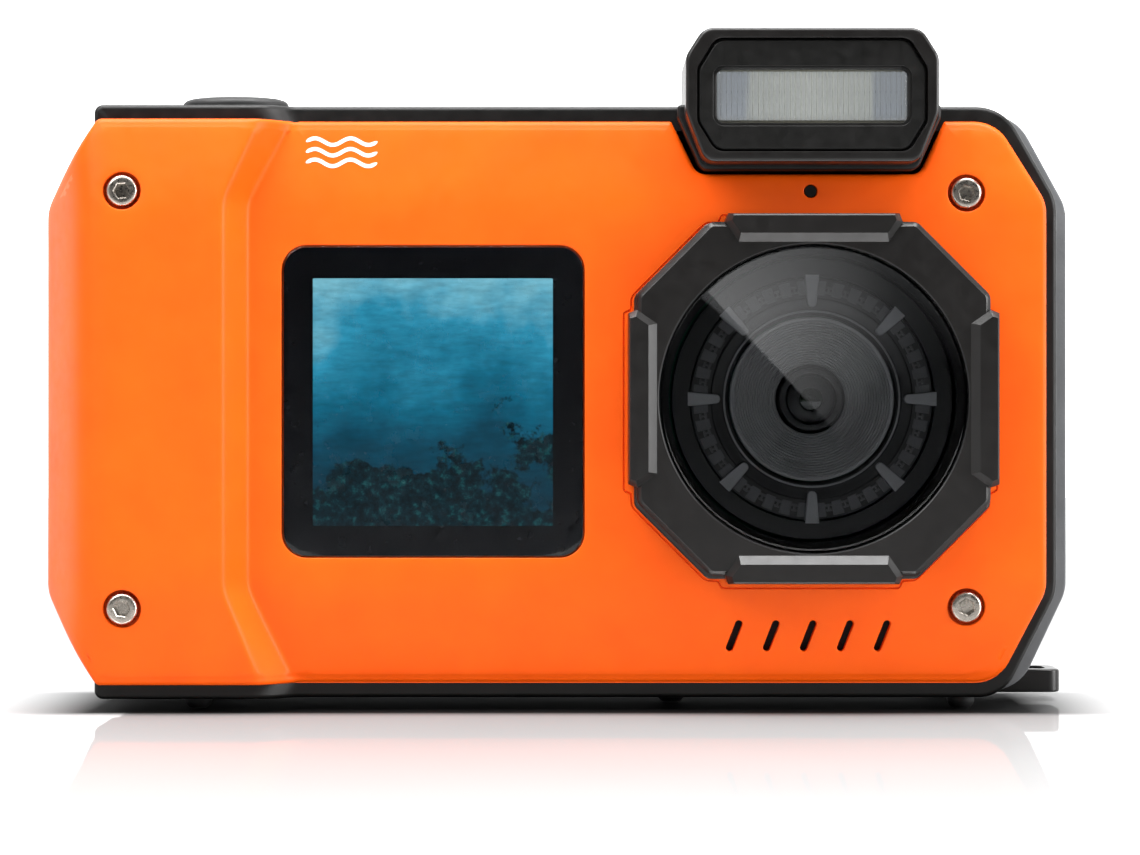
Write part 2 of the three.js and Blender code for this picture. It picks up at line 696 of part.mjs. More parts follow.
function doorSeal() {
  const outer = block([-52.5, -51.9], [2, 11.9], [DOOR.low + 0.9, DOOR.high - 0.9]);
  return cut(outer, block([-60, -50], [3, 10.9], [DOOR.low + 1.9, DOOR.high - 1.9]));
}

function doorLatch() {
  const slider = block([-55.15, -54.35], [2.3, 5.9], [27.1, 36.6]);
  const grips = [28.8, 30.8, 32.8, 34.8].map((z) => block([-56, -54.95], LATCH_BED.y, [z, z + 0.8]));
  return cut(slider, ...grips);
}

function hingePin() {
  return rodZ(HINGE.x, HINGE.y, HINGE.pin, DOOR.low - 1.6, DOOR.high + 1.6, 16);
}

function usbSocket() {
  const shell = block([-51.4, -44], [3, 12], [14.1, 17.3]);
  return cut(shell, block([-60, -45], [3.6, 11.4], [14.6, 16.8]));
}

function cardSocket() {
  const shell = block([-50.2, -35.6], [1, 13], [17.9, 20.1]);
  return cut(shell, block([-60, -36], [1.4, 12.6], [18.3, 19.7]));
}

// ---- boards and small parts ----
function mainBoard() {
  const board = block([-42, 39], [-0.6, 0.6], [7, 58]);
  const processor = block([-6, 6], [0.5, 1.8], [30, 42]);
  const memory = block([-24, -14], [0.5, 1.7], [44, 52]);
  return join(board, processor, memory);
}

function imageSensor() {
  return join(
    plateY(boxCorners(LENS_X, LENS_Z, 12, 12, 0.5), -2.4, -1.2),
    block([LENS_X - 3.6, LENS_X + 3.6], [-2.8, -2.3], [LENS_Z - 2.8, LENS_Z + 2.8]),
  );
}

function tripodInsert() {
  const { x, y, bore, wall, top } = TRIPOD;
  const bush = rodZ(x, y, wall, BASE + 0.05, top, 24);
  const rim = rodZ(x, y, wall + 1.4, 3.6, 4.8, 24);
  return cut(join(bush, rim), rodZ(x, y, bore, 0, 7.6, 24));
}

function strapLug() {
  const { x0, x1, y0, y1, z0, z1 } = LUG;
  const tab = columnZ([[x0, y0, 0.2], [x1, y0, 1.2], [x1, y1, 1.2], [x0, y1, 0.2]], z0, z1);
  const slot = columnZ([[51.6, 4.6, 1], [54, 4.6, 1], [54, 9.4, 1], [51.6, 9.4, 1]], 0, 10);
  return cut(tab, slot);
}

const FEET = [
  [-39.2, -7.5],
  [43.2, -7.5],
  [12.1, 1.5],
  [-39.2, 13],
  [43.2, 14.5],
];

function foot([x, y]) {
  const profile = [[0, BASE - 0.05], [1.5, BASE - 0.05], [1.5, 0.7], [1.1, 0.2], [0.6, 0], [0, 0]];
  const points = profile.map(([radius, z]) => new THREE.Vector2(radius, z)).reverse();
  return toSolid(new THREE.LatheGeometry(points, 12).rotateX(Math.PI / 2).translate(x, y, 0));
}

// ---- assembly ----
addNode("front_shell", frontShell(), COLOUR.orange, 0.4);
addNode("mid_frame", midFrame(), COLOUR.black, 0.5);
addNode("body_seal", sealRing(FRAME_BACK + 0.05, SEAL_BACK, 0), COLOUR.rubber, 0.8);
addNode("rear_shell", rearShell(), COLOUR.grey, 0.6);
SCREWS.forEach((screw, i) => addNode(`corner_screw_${i + 1}`, cornerScrew(screw), COLOUR.steel, 0.35, 1));

addNode("lens_hood", lensHood(), COLOUR.hood, 0.45);
addNode("lens_window", rodY(LENS_X, LENS_Z, WINDOW_R, WINDOW_FRONT, WINDOW_BACK, 48), COLOUR.glass, 0.05);
addNode("lens_window_seal", ringY(LENS_X, LENS_Z, 15.3, 16.1, -16.95, -16.55, 48), COLOUR.rubber, 0.8);
addNode("lens_trim_ring", lensTrimRing(), COLOUR.black, 0.5);
addNode("lens_cone", lensCone(), COLOUR.black, 0.5);
addNode("lens_barrel", lensBarrel(), COLOUR.black, 0.4);
addNode("front_element", frontElement(), COLOUR.glass, 0.05);
addNode("lens_holder", lensHolder(), COLOUR.black, 0.6);
addNode("image_sensor", imageSensor(), COLOUR.board, 0.5);

addNode("flash_housing", flashHousing(), COLOUR.hood, 0.45);
addNode("flash_bezel", flashBezel(), COLOUR.black, 0.5);
addNode("flash_lens", flashLens(), COLOUR.silver, 0.1);
addNode("flash_reflector", flashReflector(), COLOUR.silver, 0.2, 1);
addNode("flash_tube", flashTube(), COLOUR.silver, 0.1);
addNode("flash_capacitor", rodZ(-39, -8.2, 4, 18, 48), COLOUR.black, 0.4);

addNode("front_display_window", screenWindow(SCREEN), COLOUR.glass, 0.05);
addNode("front_display_seal", frontDisplaySeal(), COLOUR.rubber, 0.8);
addNode("front_display_panel", displayPanel(SCREEN, 29, 31, -12.1, -10.2), COLOUR.glass, 0.2);
addNode("rear_display_window", screenWindow(MONITOR), COLOUR.glass, 0.05);
addNode("rear_display_panel", displayPanel(MONITOR, 63, 47, 13.6, 16.3), COLOUR.glass, 0.2);

TOP_BUTTONS.forEach((button) => addNode(button.name, topButton(button), COLOUR.black, 0.5));
REAR_BUTTONS.forEach((button) => addNode(button.name, rearButton(button), COLOUR.black, 0.5));

addNode("battery_door", batteryDoor(), COLOUR.grey, 0.6);
addNode("door_seal", doorSeal(), COLOUR.rubber, 0.8);
addNode("door_latch", doorLatch(), COLOUR.orange, 0.4);
addNode("hinge_pin", hingePin(), COLOUR.steel, 0.3, 1);
addNode("battery", plateY(boxCorners(-29.3, 36.6, 44, 31.8, 1), 2.6, 11.6), COLOUR.black, 0.5);
addNode("card_socket", cardSocket(), COLOUR.silver, 0.3, 1);
addNode("memory_card", block([-51, -36.2], [1.6, 12.4], [18.5, 19.4]), COLOUR.black, 0.5);
addNode("usb_socket", usbSocket(), COLOUR.silver, 0.3, 1);

addNode("main_board", mainBoard(), COLOUR.board, 0.5);
addNode("key_board", block([-49, -24.6], [13.4, 14.2], [9, 54.5]), COLOUR.board, 0.5);
addNode("speaker", plateY(boxCorners(SPEAKER.x, SPEAKER.z, 19, 7, 2), -10.2, -7.6), COLOUR.black, 0.5);
addNode("microphone", rodY(LENS_X, MIC_Z, 2, -11.4, -9.9, 16), COLOUR.silver, 0.4, 1);
addNode("tripod_insert", tripodInsert(), COLOUR.brass, 0.35, 1);
addNode("strap_lug", strapLug(), COLOUR.hood, 0.5);
FEET.forEach((place, i) => addNode(`foot_${i + 1}`, foot(place), COLOUR.rubber, 0.8));

export default group;
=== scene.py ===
"""Looks for a waterproof action camera: fine surfaces, materials, camera and lights.

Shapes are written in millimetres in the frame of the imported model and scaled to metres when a
piece is made. The lens looks along -Y, +X is to the right of someone facing the lens, +Z is up.
"""

import math

import bmesh
import bpy
import numpy as np
from mathutils import Matrix, Vector
from mathutils.geometry import delaunay_2d_cdt


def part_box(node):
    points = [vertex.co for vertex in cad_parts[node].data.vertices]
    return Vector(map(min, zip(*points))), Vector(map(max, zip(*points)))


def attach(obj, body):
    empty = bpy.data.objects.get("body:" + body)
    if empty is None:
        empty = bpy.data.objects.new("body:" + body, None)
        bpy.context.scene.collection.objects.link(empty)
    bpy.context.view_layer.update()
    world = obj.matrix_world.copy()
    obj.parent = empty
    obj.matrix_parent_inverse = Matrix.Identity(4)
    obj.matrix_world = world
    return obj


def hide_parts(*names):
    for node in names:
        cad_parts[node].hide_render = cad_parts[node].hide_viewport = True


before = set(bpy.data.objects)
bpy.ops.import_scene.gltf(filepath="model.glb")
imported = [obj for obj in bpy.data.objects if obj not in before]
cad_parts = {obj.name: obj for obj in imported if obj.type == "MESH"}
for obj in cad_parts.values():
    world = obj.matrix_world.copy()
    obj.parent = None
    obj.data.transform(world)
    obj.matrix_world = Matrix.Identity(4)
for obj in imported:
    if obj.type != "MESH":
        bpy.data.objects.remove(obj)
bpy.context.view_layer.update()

MM = 0.001


# ---------------------------------------------------------------- driving dimensions
def node_box(node):
    """Lowest and highest corner of a CAD node, in millimetres."""
    low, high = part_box(node)
    return np.array(low) / MM, np.array(high) / MM


def centre_of(node):
    low, high = node_box(node)
    return (low + high) / 2


LENS_X, _, LENS_Z = centre_of("lens_window")
SCREEN_X, _, SCREEN_Z = centre_of("front_display_window")
MONITOR_X, _, MONITOR_Z = centre_of("rear_display_window")
FLASH_X, _, FLASH_Z = centre_of("flash_bezel")
HOOD_FRONT = node_box("lens_hood")[0][1]
GRIP_FACE = node_box("front_shell")[0][1]
PANEL_FACE = GRIP_FACE + 4
BASE = node_box("rear_shell")[0][2]
TOP = node_box("rear_shell")[1][2]
LEFT = node_box("front_shell")[0][0]
REAR_FACE = node_box("rear_shell")[1][1]

GRIP_RIM = -14.0
PANEL_RIM = -11.5
FLANGE_FRONT = -4.9
FRAME_BACK = -1.8
REAR_RIM = -1.5
LIP_BACK = 0.7
BEND_LOW = 13.2
BEND_HIGH = 54.4
PANEL_WALL = 1.8
FRAME_WALL = 2.6
REAR_WALL = 2.0
FRAME_LEFT = -49.7
GRIP_EDGE = -33.3
GRIP_SLOPE = 2.3
BORE_REACH = 16.4
HOOD_FACE = -19.2
LENS_SIDES = 128

PANEL_TOP = 63.05
NOTCH = [(41.0, PANEL_TOP, 0.3), (38.3, 57.35, 1.4), (14.5, 57.35, 1.4), (11.8, PANEL_TOP, 0.3)]
PANEL_OUTLINE = [
    (-49.3, 3, 0.8),
    (46.8, 3, 4),
    (51.7, 12.9, 4),
    (51.7, 54.3, 4),
    (46.5, PANEL_TOP, 4),
    *NOTCH,
    (-49.1, PANEL_TOP, 0.8),
    (LEFT, 53.8, 3.5),
    (LEFT, 12.6, 3.5),
]
FRAME_OUTLINE = [
    (FRAME_LEFT, BASE, 0.9),
    (47.4, BASE, 4.5),
    (53.1, 12.6, 5),
    (53.1, 54.7, 5),
    (47.4, TOP, 5),
    (FRAME_LEFT, TOP, 0.9),
]
REAR_OUTLINE = [
    (-50.2, BASE, 5),
    (50.2, BASE, 5),
    (55.4, 12.4, 5),
    (55.4, 54.5, 5),
    (49.8, TOP, 5),
    (-49.8, TOP, 5),
    (-55.2, 54.5, 5),
    (-55.2, 12.4, 5),
]
SCREWS = [
    (centre_of(f"corner_screw_{i}")[0], centre_of(f"corner_screw_{i}")[2], face)
    for i, face in ((1, GRIP_FACE), (2, GRIP_FACE), (3, PANEL_FACE), (4, PANEL_FACE))
]


# ---------------------------------------------------------------- outlines
def box_corners(x, z, width, height, radius):
    w, h = width / 2, height / 2
    return [
        (x - w, z - h, radius),
        (x + w, z - h, radius),
        (x + w, z + h, radius),
        (x - w, z + h, radius),
    ]


def octagon(x, z, half, cut, radius):
    (w, h), (cut_w, cut_h) = half, cut
    u, v = w - cut_w, h - cut_h
    signed = [(-u, -h), (u, -h), (w, -v), (w, v), (u, h), (-u, h), (-w, v), (-w, -v)]
    return [(x + dx, z + dz, radius) for dx, dz in signed]


def circle(x, z, radius, sides=64):
    turn = np.arange(sides) * 2 * math.pi / sides
    return np.column_stack([x + radius * np.cos(turn), z + radius * np.sin(turn)])


class Outline:
    """A counter-clockwise (x, z) outline that gives the same number of points at any offset."""

    def __init__(self, corners, steps=6, pitch=1.5):
        self.places = [np.array(corner[:2], float) for corner in corners]
        self.radii = [corner[2] for corner in corners]
        self.steps = steps
        arcs = self.arcs(0)
        gaps = [np.linalg.norm(arcs[(i + 1) % len(arcs)][0] - arc[-1]) for i, arc in enumerate(arcs)]
        self.splits = [max(1, round(gap / pitch)) for gap in gaps]

    def arcs(self, offset):
        count = len(self.places)
        moved, turns = [], []
        for i, place in enumerate(self.places):
            into = place - self.places[i - 1]
            out = self.places[(i + 1) % count] - place
            into, out = into / np.linalg.norm(into), out / np.linalg.norm(out)
            normals = np.array([into[1] + out[1], -into[0] - out[0]])
            moved.append(place + normals * offset / (1 + into @ out))
            turns.append(into[0] * out[1] - into[1] * out[0])
        return [self.arc(moved, turns, i, offset) for i in range(count)]

    def arc(self, moved, turns, i, offset):
        count = len(moved)
        radius = max(self.radii[i] + (offset if turns[i] > 0 else -offset), 0.02)
        back = moved[i - 1] - moved[i]
        on = moved[(i + 1) % count] - moved[i]
        back, on = back / np.linalg.norm(back), on / np.linalg.norm(on)
        half = math.acos(max(-1, min(1, back @ on))) / 2
        middle = (back + on) / np.linalg.norm(back + on)
        centre = moved[i] + middle * radius / math.sin(half)
        start = moved[i] + back * radius / math.tan(half) - centre
        sweep = math.copysign(2 * half - math.pi, back[0] * on[1] - back[1] * on[0])
        sweep = -abs(sweep) if turns[i] < 0 else abs(sweep)
        angles = [sweep * k / self.steps for k in range(self.steps + 1)]
        turned = [
            (start[0] * math.cos(a) - start[1] * math.sin(a), start[0] * math.sin(a) + start[1] * math.cos(a))
            for a in angles
        ]
        return centre + np.array(turned)

    def at(self, offset):
        arcs = self.arcs(offset)
        points = []
        for i, arc in enumerate(arcs):
            points.extend(arc)
            start, end = arc[-1], arcs[(i + 1) % len(arcs)][0]
            for k in range(1, self.splits[i]):
                points.append(start + (end - start) * k / self.splits[i])
        return np.array(points)


def inside_loops(points, loops):
    """True for each point that lies in an odd number of the closed loops."""
    result = np.zeros(len(points), bool)
    x, z = points[:, 0], points[:, 1]
    for loop in loops:
        loop = np.asarray(loop)
        ahead = np.roll(loop, -1, 0)
        for (x0, z0), (x1, z1) in zip(loop, ahead):
            if z0 == z1:
                continue
            crossing = (z0 > z) != (z1 > z)
            at = x0 + (z - z0) * (x1 - x0) / (z1 - z0)
            result ^= crossing & (x < at)
    return result


def far_from(points, others, distance):
    keep = np.ones(len(points), bool)
    for x, z in others:
        keep &= (points[:, 0] - x) ** 2 + (points[:, 1] - z) ** 2 > distance**2
    return points[keep]


def hex_points(loops, pitch):
    """A triangular grid of points inside the loops, clear of their corners."""
    every = np.vstack([np.asarray(loop) for loop in loops])
    low, high = every.min(0), every.max(0)
    rows = np.arange(low[1], high[1], pitch * 0.866)
    points = [
        (x, z)
        for i, z in enumerate(rows)
        for x in np.arange(low[0] + (i % 2) * pitch / 2, high[0], pitch)
    ]
    points = np.array(points)
    points = points[inside_loops(points, loops)]
    return far_from(points, every, pitch * 0.6)


# ---------------------------------------------------------------- mesh building
class Build:
    """Vertices and faces of one piece, in millimetres, with its front towards -Y."""

    def __init__(self):
        self.verts = []
        self.faces = []

    def points(self, places):
        first = len(self.verts)
        self.verts.extend(tuple(float(v) for v in place) for place in places)
        return list(range(first, len(self.verts)))

    def ring(self, loop, y):
        loop = np.asarray(loop, float)
        depth = y(loop[:, 0], loop[:, 1]) if callable(y) else np.full(len(loop), y, float)
        return self.points(np.column_stack([loop[:, 0], depth, loop[:, 1]]))

    def strip(self, first, second, closed=True):
        count = len(first)
        for i in range(count if closed else count - 1):
            j = (i + 1) % count
            self.faces.append((first[i], second[i], second[j], first[j]))

    def chain(self, rings, closed=False, back=False):
        for first, second in zip(rings, rings[1:] + rings[:1] if closed else rings[1:]):
            self.strip(second, first) if back else self.strip(first, second)

    def cap(self, ring, back=False):
        self.faces.append(tuple(reversed(ring)) if back else tuple(ring))

    def flat(self, loops):
        """The (x, z) outlines of rings."""
        return [np.array([(self.verts[i][0], self.verts[i][2]) for i in loop]) for loop in loops]

    def skin(self, rings):
        """Joins rings, of which the first and the last may be single points."""
        for first, second in zip(rings, rings[1:]):
            if len(first) == 1:
                self.fan(first[0], second)
            elif len(second) == 1:
                self.fan(second[0], first, back=True)
            else:
                self.strip(first, second)

    def fan(self, centre, ring, back=False):
        for i, first in enumerate(ring):
            second = ring[(i + 1) % len(ring)]
            self.faces.append((second, first, centre) if back else (centre, first, second))

    def fill(self, loops, inside=(), y=0.0, back=False):
        """Triangles between closed rings, with more points inside at depth y."""
        ids = [i for loop in loops for i in loop]
        flat = [(self.verts[i][0], self.verts[i][2]) for i in ids]
        edges, base = [], 0
        for loop in loops:
            edges += [(base + k, base + (k + 1) % len(loop)) for k in range(len(loop))]
            base += len(loop)
        if len(inside):
            ids += self.ring(inside, y)
            flat += [tuple(point) for point in inside]
        made = delaunay_2d_cdt([Vector(point) for point in flat], edges, [], 0, 1e-7)
        places, triangles, sources = made[0], made[2], made[3]
        if any(not source for source in sources):
            raise ValueError("two loops of a fill cross")
        middles = np.array([sum((places[i] for i in t), Vector((0, 0))) / 3 for t in triangles])
        keep = inside_loops(middles, self.flat(loops))
        for triangle, kept in zip(triangles, keep):
            if kept:
                face = [ids[sources[i][0]] for i in triangle]
                self.faces.append(tuple(reversed(face)) if back else tuple(face))

    def block(self, low, high, edge=0.0):
        """A box with its front edges rounded off by edge."""
        x, z = (low[0] + high[0]) / 2, (low[2] + high[2]) / 2
        outline = Outline(box_corners(x, z, high[0] - low[0], high[2] - low[2], max(edge, 0.04)), 2, 50)
        self.plate(outline, low[1], high[1], edge)

    def plate(self, outline, front, back, edge=0.0, back_edge=0.0, holes=(), steps=3):
        """A plate of an outline with rounded edges. Holes are outlines cut straight through."""
        outer = [self.ring(outline.at(offset), front + y) for offset, y in quarter(edge, steps)]
        outer += [
            self.ring(outline.at(offset), back - y) for offset, y in reversed(quarter(back_edge, steps))
        ]
        self.chain(outer)
        fronts, backs = [outer[0]], [outer[-1]]
        for hole in holes:
            lip = [self.ring(hole.at(-offset), front + y) for offset, y in quarter(edge, steps)]
            lip.append(self.ring(hole.at(0), back))
            self.chain(lip, back=True)
            fronts.append(lip[0])
            backs.append(lip[-1])
        self.fill(fronts)
        self.fill(backs, back=True)

    def turned(self, profile, x, z, sides=64):
        """A turned shape about an axis along Y, from (radius, y) points; front centre first."""
        rings = []
        for radius, y in profile:
            loop = circle(x, z, radius, sides)
            rings.append(self.ring(loop, y) if radius else self.points([(x, y, z)]))
        self.skin(rings)
        if profile[0][0] > 0 and profile[-1][0] > 0:
            self.strip(rings[-1], rings[0])


def quarter(size, steps=3):
    """(offset, y) points of a rounded edge of that size, from the face to the side."""
    if size <= 0:
        return [(0, 0)]
    angles = [math.pi / 2 * k / steps for k in range(steps + 1)]
    return [(size * (math.sin(a) - 1), size * (1 - math.cos(a))) for a in angles]


def make(build, name, body, material, nodes=(), turn=None, sharp=38, inner=None):
    """Makes the Blender object of a build, shaded, riding on its body and standing for its nodes.

    inner is a material for the faces within BORE_REACH of the lens axis.
    """
    mesh = bpy.data.meshes.new(name)
    mesh.from_pydata([Vector(place) * MM for place in build.verts], [], build.faces)
    if turn is not None:
        mesh.transform(turn)
    mesh.validate()
    work = bmesh.new()
    work.from_mesh(mesh)
    bmesh.ops.remove_doubles(work, verts=work.verts, dist=1e-7)
    bmesh.ops.dissolve_degenerate(work, edges=work.edges, dist=1e-8)
    loose = [vert for vert in work.verts if not vert.link_faces]
    bmesh.ops.delete(work, geom=loose, context="VERTS")
    work.to_mesh(mesh)
    work.free()
    mesh.polygons.foreach_set("use_smooth", [True] * len(mesh.polygons))
    mesh.set_sharp_from_angle(angle=math.radians(sharp))
    mesh.materials.append(material)
    if inner:
        mesh.materials.append(inner)
        for face in mesh.polygons:
            x, _, z = face.center / MM
            face.material_index = int(math.hypot(x - LENS_X, z - LENS_Z) < BORE_REACH)
    obj = bpy.data.objects.new(name, mesh)
    bpy.context.scene.collection.objects.link(obj)
    shading = obj.modifiers.new("shading", "WEIGHTED_NORMAL")
    shading.keep_sharp = True
    if nodes:
        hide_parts(*nodes)
    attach(obj, body)
    return obj


def carve(obj, builds):
    """Cuts closed builds out of an object, which keeps its name and its body."""
    for i, build in enumerate(builds):
        mesh = bpy.data.meshes.new(f"tool_{i}")
        mesh.from_pydata([Vector(place) * MM for place in build.verts], [], build.faces)
        tool = bpy.data.objects.new(f"tool_{i}", mesh)
        bpy.context.scene.collection.objects.link(tool)
        cut = obj.modifiers.new("cut", "BOOLEAN")
        cut.operation = "DIFFERENCE"
        cut.solver = "EXACT"
        cut.object = tool
        obj.modifiers.move(len(obj.modifiers) - 1, 0)
        obj.modifiers["shading"].show_viewport = False
        bpy.context.view_layer.update()
        whole = obj.evaluated_get(bpy.context.evaluated_depsgraph_get())
        shape = bpy.data.meshes.new_from_object(whole)
        obj.modifiers.remove(cut)
        bpy.data.objects.remove(tool)
        obj.modifiers["shading"].show_viewport = True
        shape.name = obj.data.name + "_cut"
        obj.data = shape
    obj.data.polygons.foreach_set("use_smooth", [True] * len(obj.data.polygons))
    obj.data.set_sharp_from_angle(angle=math.radians(38))


def drum(loop, low, high):
    """A closed upright cylinder of an (x, y) loop, to cut with."""
    tool = Build()
    ends = [tool.points([(x, y, z) for x, y in loop]) for z in (low, high)]
    tool.strip(ends[1], ends[0])
    tool.cap(ends[0], back=True)
    tool.cap(ends[1])
    return tool


# ---------------------------------------------------------------- materials
def linear(code):
    """An sRGB hex colour as linear RGBA."""
    parts = [int(code[i : i + 2], 16) / 255 for i in (1, 3, 5)]
    return [p / 12.92 if p <= 0.04045 else ((p + 0.055) / 1.055) ** 2.4 for p in parts] + [1.0]


class Surface:
    """A node-based material with noise in its colour, roughness and bump."""

    def __init__(self, name):
        self.material = bpy.data.materials.new(name)
        self.material.use_nodes = True
        self.tree = self.material.node_tree
        self.shader = self.tree.nodes["Principled BSDF"]
        self.place = self.add("ShaderNodeTexCoord").outputs["Object"]

    def add(self, kind, **settings):
        node = self.tree.nodes.new(kind)
        for key, value in settings.items():
            setattr(node, key, value)
        return node

    def link(self, source, target):
        self.tree.links.new(source, target)

    def noise(self, size, detail=3.0, rough=0.55, stretch=None):
        """Noise whose features are about size millimetres wide."""
        node = self.add("ShaderNodeTexNoise")
        node.inputs["Scale"].default_value = 1 / (size * MM)
        node.inputs["Detail"].default_value = detail
        node.inputs["Roughness"].default_value = rough
        if stretch:
            mapping = self.add("ShaderNodeMapping")
            mapping.inputs["Scale"].default_value = stretch
            self.link(self.place, mapping.inputs["Vector"])
            self.link(mapping.outputs["Vector"], node.inputs["Vector"])
        else:
            self.link(self.place, node.inputs["Vector"])
        return node.outputs["Fac"]

    def ramp(self, source, stops):
        node = self.add("ShaderNodeValToRGB")
        elements = node.color_ramp.elements
        while len(elements) < len(stops):
            elements.new(0.5)
        for element, (at, colour) in zip(elements, stops):
            element.position = at
            element.color = linear(colour) if isinstance(colour, str) else colour
        self.link(source, node.inputs["Fac"])
        return node.outputs["Color"]

    def mapped(self, source, low, high, start=0.3, end=0.7):
        node = self.add("ShaderNodeMapRange")
        node.inputs["From Min"].default_value = start
        node.inputs["From Max"].default_value = end
        node.inputs["To Min"].default_value = low
        node.inputs["To Max"].default_value = high
        self.link(source, node.inputs["Value"])
        return node.outputs["Result"]

    def colour(self, dark, light, size=6.0):
        """Base colour that drifts between two close tones."""
        self.link(self.ramp(self.noise(size), [(0.3, dark), (0.7, light)]), self.shader.inputs["Base Color"])

    def roughness(self, low, high, size=1.5):
        self.link(self.mapped(self.noise(size), low, high), self.shader.inputs["Roughness"])

    def bump(self, size, height, strength=1.0, stretch=None):
        """Fine relief of about that width and height in millimetres."""
        node = self.add("ShaderNodeBump")
        node.inputs["Strength"].default_value = strength
        node.inputs["Distance"].default_value = height * MM
        self.link(self.noise(size, 2.0, 0.5, stretch), node.inputs["Height"])
        if self.shader.inputs["Normal"].links:
            self.link(self.shader.inputs["Normal"].links[0].from_socket, node.inputs["Normal"])
        self.link(node.outputs["Normal"], self.shader.inputs["Normal"])

    def set(self, **values):
        for key, value in values.items():
            self.shader.inputs[key.replace("_", " ")].default_value = value
        return self.material


def plastic(name, dark, light, rough, grain, height, **extra):
    surface = Surface(name)
    surface.colour(dark, light)
    surface.roughness(*rough)
    surface.bump(grain, height)
    return surface.set(**extra)


def metal(name, dark, light, rough, grain=0.5, height=0.001, stretch=None):
    surface = Surface(name)
    surface.colour(dark, light, 1.2)
    surface.roughness(*rough, 0.4)
    surface.bump(grain, height, stretch=stretch)
    return surface.set(Metallic=1.0)


def clear(name, ior, tint, gloss=0.02):
    """A clear sheet that lets light straight through and mirrors by Fresnel."""
    surface = Surface(name)
    tree = surface.tree
    through = surface.add("ShaderNodeBsdfTransparent")
    through.inputs["Color"].default_value = tint
    shine = surface.add("ShaderNodeBsdfGlossy")
    smear = surface.mapped(surface.noise(4.0), gloss, gloss + 0.015)
    surface.link(smear, shine.inputs["Roughness"])
    ripple = surface.add("ShaderNodeBump")
    ripple.inputs["Distance"].default_value = 0.0006 * MM
    surface.link(surface.noise(5.0), ripple.inputs["Height"])
    surface.link(ripple.outputs["Normal"], shine.inputs["Normal"])
    share = surface.add("ShaderNodeFresnel")
    share.inputs["IOR"].default_value = ior
    blend = surface.add("ShaderNodeMixShader")
    surface.link(share.outputs["Fac"], blend.inputs["Fac"])
    surface.link(through.outputs["BSDF"], blend.inputs[1])
    surface.link(shine.outputs["BSDF"], blend.inputs[2])
    tree.nodes.remove(surface.shader)
    surface.link(blend.outputs["Shader"], tree.nodes["Material Output"].inputs["Surface"])
    return surface.material


def flash_rib_material():
    """Milky clear plastic, cream in the middle of the flash and blue-grey at both ends, with a faint painted
    glow of its own.
    """
    surface = Surface("flash_ribs_painted_glow")
    place = surface.add("ShaderNodeSeparateXYZ")
    surface.link(surface.place, place.inputs["Vector"])
    start, end = (FLASH_X - 9.6) * MM, (FLASH_X + 9.6) * MM
    across = surface.mapped(place.outputs["X"], 0.0, 1.0, start, end)
    wobble = surface.add("ShaderNodeMath", operation="MULTIPLY_ADD")
    surface.link(surface.mapped(surface.noise(1.2, 2.0, 0.5, (1.0, 1.0, 0.1)), -0.03, 0.03), wobble.inputs[0])
    wobble.inputs[1].default_value = 1.0
    surface.link(across, wobble.inputs[2])
    stops = [(0.0, "#8d929c"), (0.13, "#9aa0aa"), (0.17, "#c9c8be"), (0.5, "#d8d6cc"), (0.83, "#c9c8be")]
    tone = surface.ramp(wobble.outputs["Value"], [*stops, (0.87, "#8f959f")])
    surface.link(tone, surface.shader.inputs["Base Color"])
    surface.roughness(0.12, 0.22)
    surface.bump(0.5, 0.004, stretch=(1.0, 1.0, 0.15))
    # The ribs glow a little by themselves: they rendered darker than the photographed ones.
    return surface.set(Alpha=0.9, Emission_Color=(0.86, 0.86, 0.83, 1), Emission_Strength=0.24)


def water_picture(name):
    """A lit picture of open water over a dark reef."""
    surface = Surface(name)
    spread = surface.add("ShaderNodeSeparateXYZ")
    surface.link(surface.place, spread.inputs["Vector"])
    low, high = (SCREEN_Z - 13.2) * MM, (SCREEN_Z + 13.2) * MM
    height = surface.mapped(spread.outputs["Z"], 0.0, 1.0, low, high)
    sway = surface.add("ShaderNodeMath", operation="MULTIPLY_ADD")
    surface.link(surface.mapped(surface.noise(9.0, 4.0, 0.6), -0.14, 0.14), sway.inputs[0])
    sway.inputs[1].default_value = 1.0
    surface.link(height, sway.inputs[2])
    water = surface.ramp(
        sway.outputs["Value"],
        [
            (0.0, "#022b3a"),
            (0.3, "#04475e"),
            (0.52, "#0a6c8a"),
            (0.75, "#2f97b8"),
            (1.0, "#84cbdd"),
        ],
    )
    streaks = surface.mapped(surface.noise(1.1, 3.0, 0.6, (0.5, 1.0, 1.8)), 0.82, 1.2)
    lit = surface.add("ShaderNodeVectorMath", operation="SCALE")
    surface.link(water, lit.inputs["Vector"])
    surface.link(streaks, lit.inputs["Scale"])
    reef = surface.ramp(
        surface.noise(0.8, 6.0, 0.75),
        [(0.4, "#010f15"), (0.54, "#04242d"), (0.64, "#145054"), (0.78, "#5b8a7c")],
    )
    edge = surface.add("ShaderNodeMath", operation="MULTIPLY_ADD")
    surface.link(surface.mapped(surface.noise(5.5, 5.0, 0.62), -0.3, 0.3), edge.inputs[0])
    edge.inputs[1].default_value = 1.0
    surface.link(height, edge.inputs[2])
    above = surface.mapped(edge.outputs["Value"], 0.0, 1.0, 0.25, 0.31)
    picture = surface.add("ShaderNodeMix", data_type="RGBA")
    surface.link(above, picture.inputs["Factor"])
    surface.link(reef, picture.inputs["A"])
    surface.link(lit.outputs["Vector"], picture.inputs["B"])
    surface.link(picture.outputs["Result"], surface.shader.inputs["Emission Color"])
    surface.link(surface.mapped(surface.noise(2.0), 0.2, 0.3), surface.shader.inputs["Roughness"])
    return surface.set(Base_Color=(0.005, 0.008, 0.01, 1), Emission_Strength=0.9)


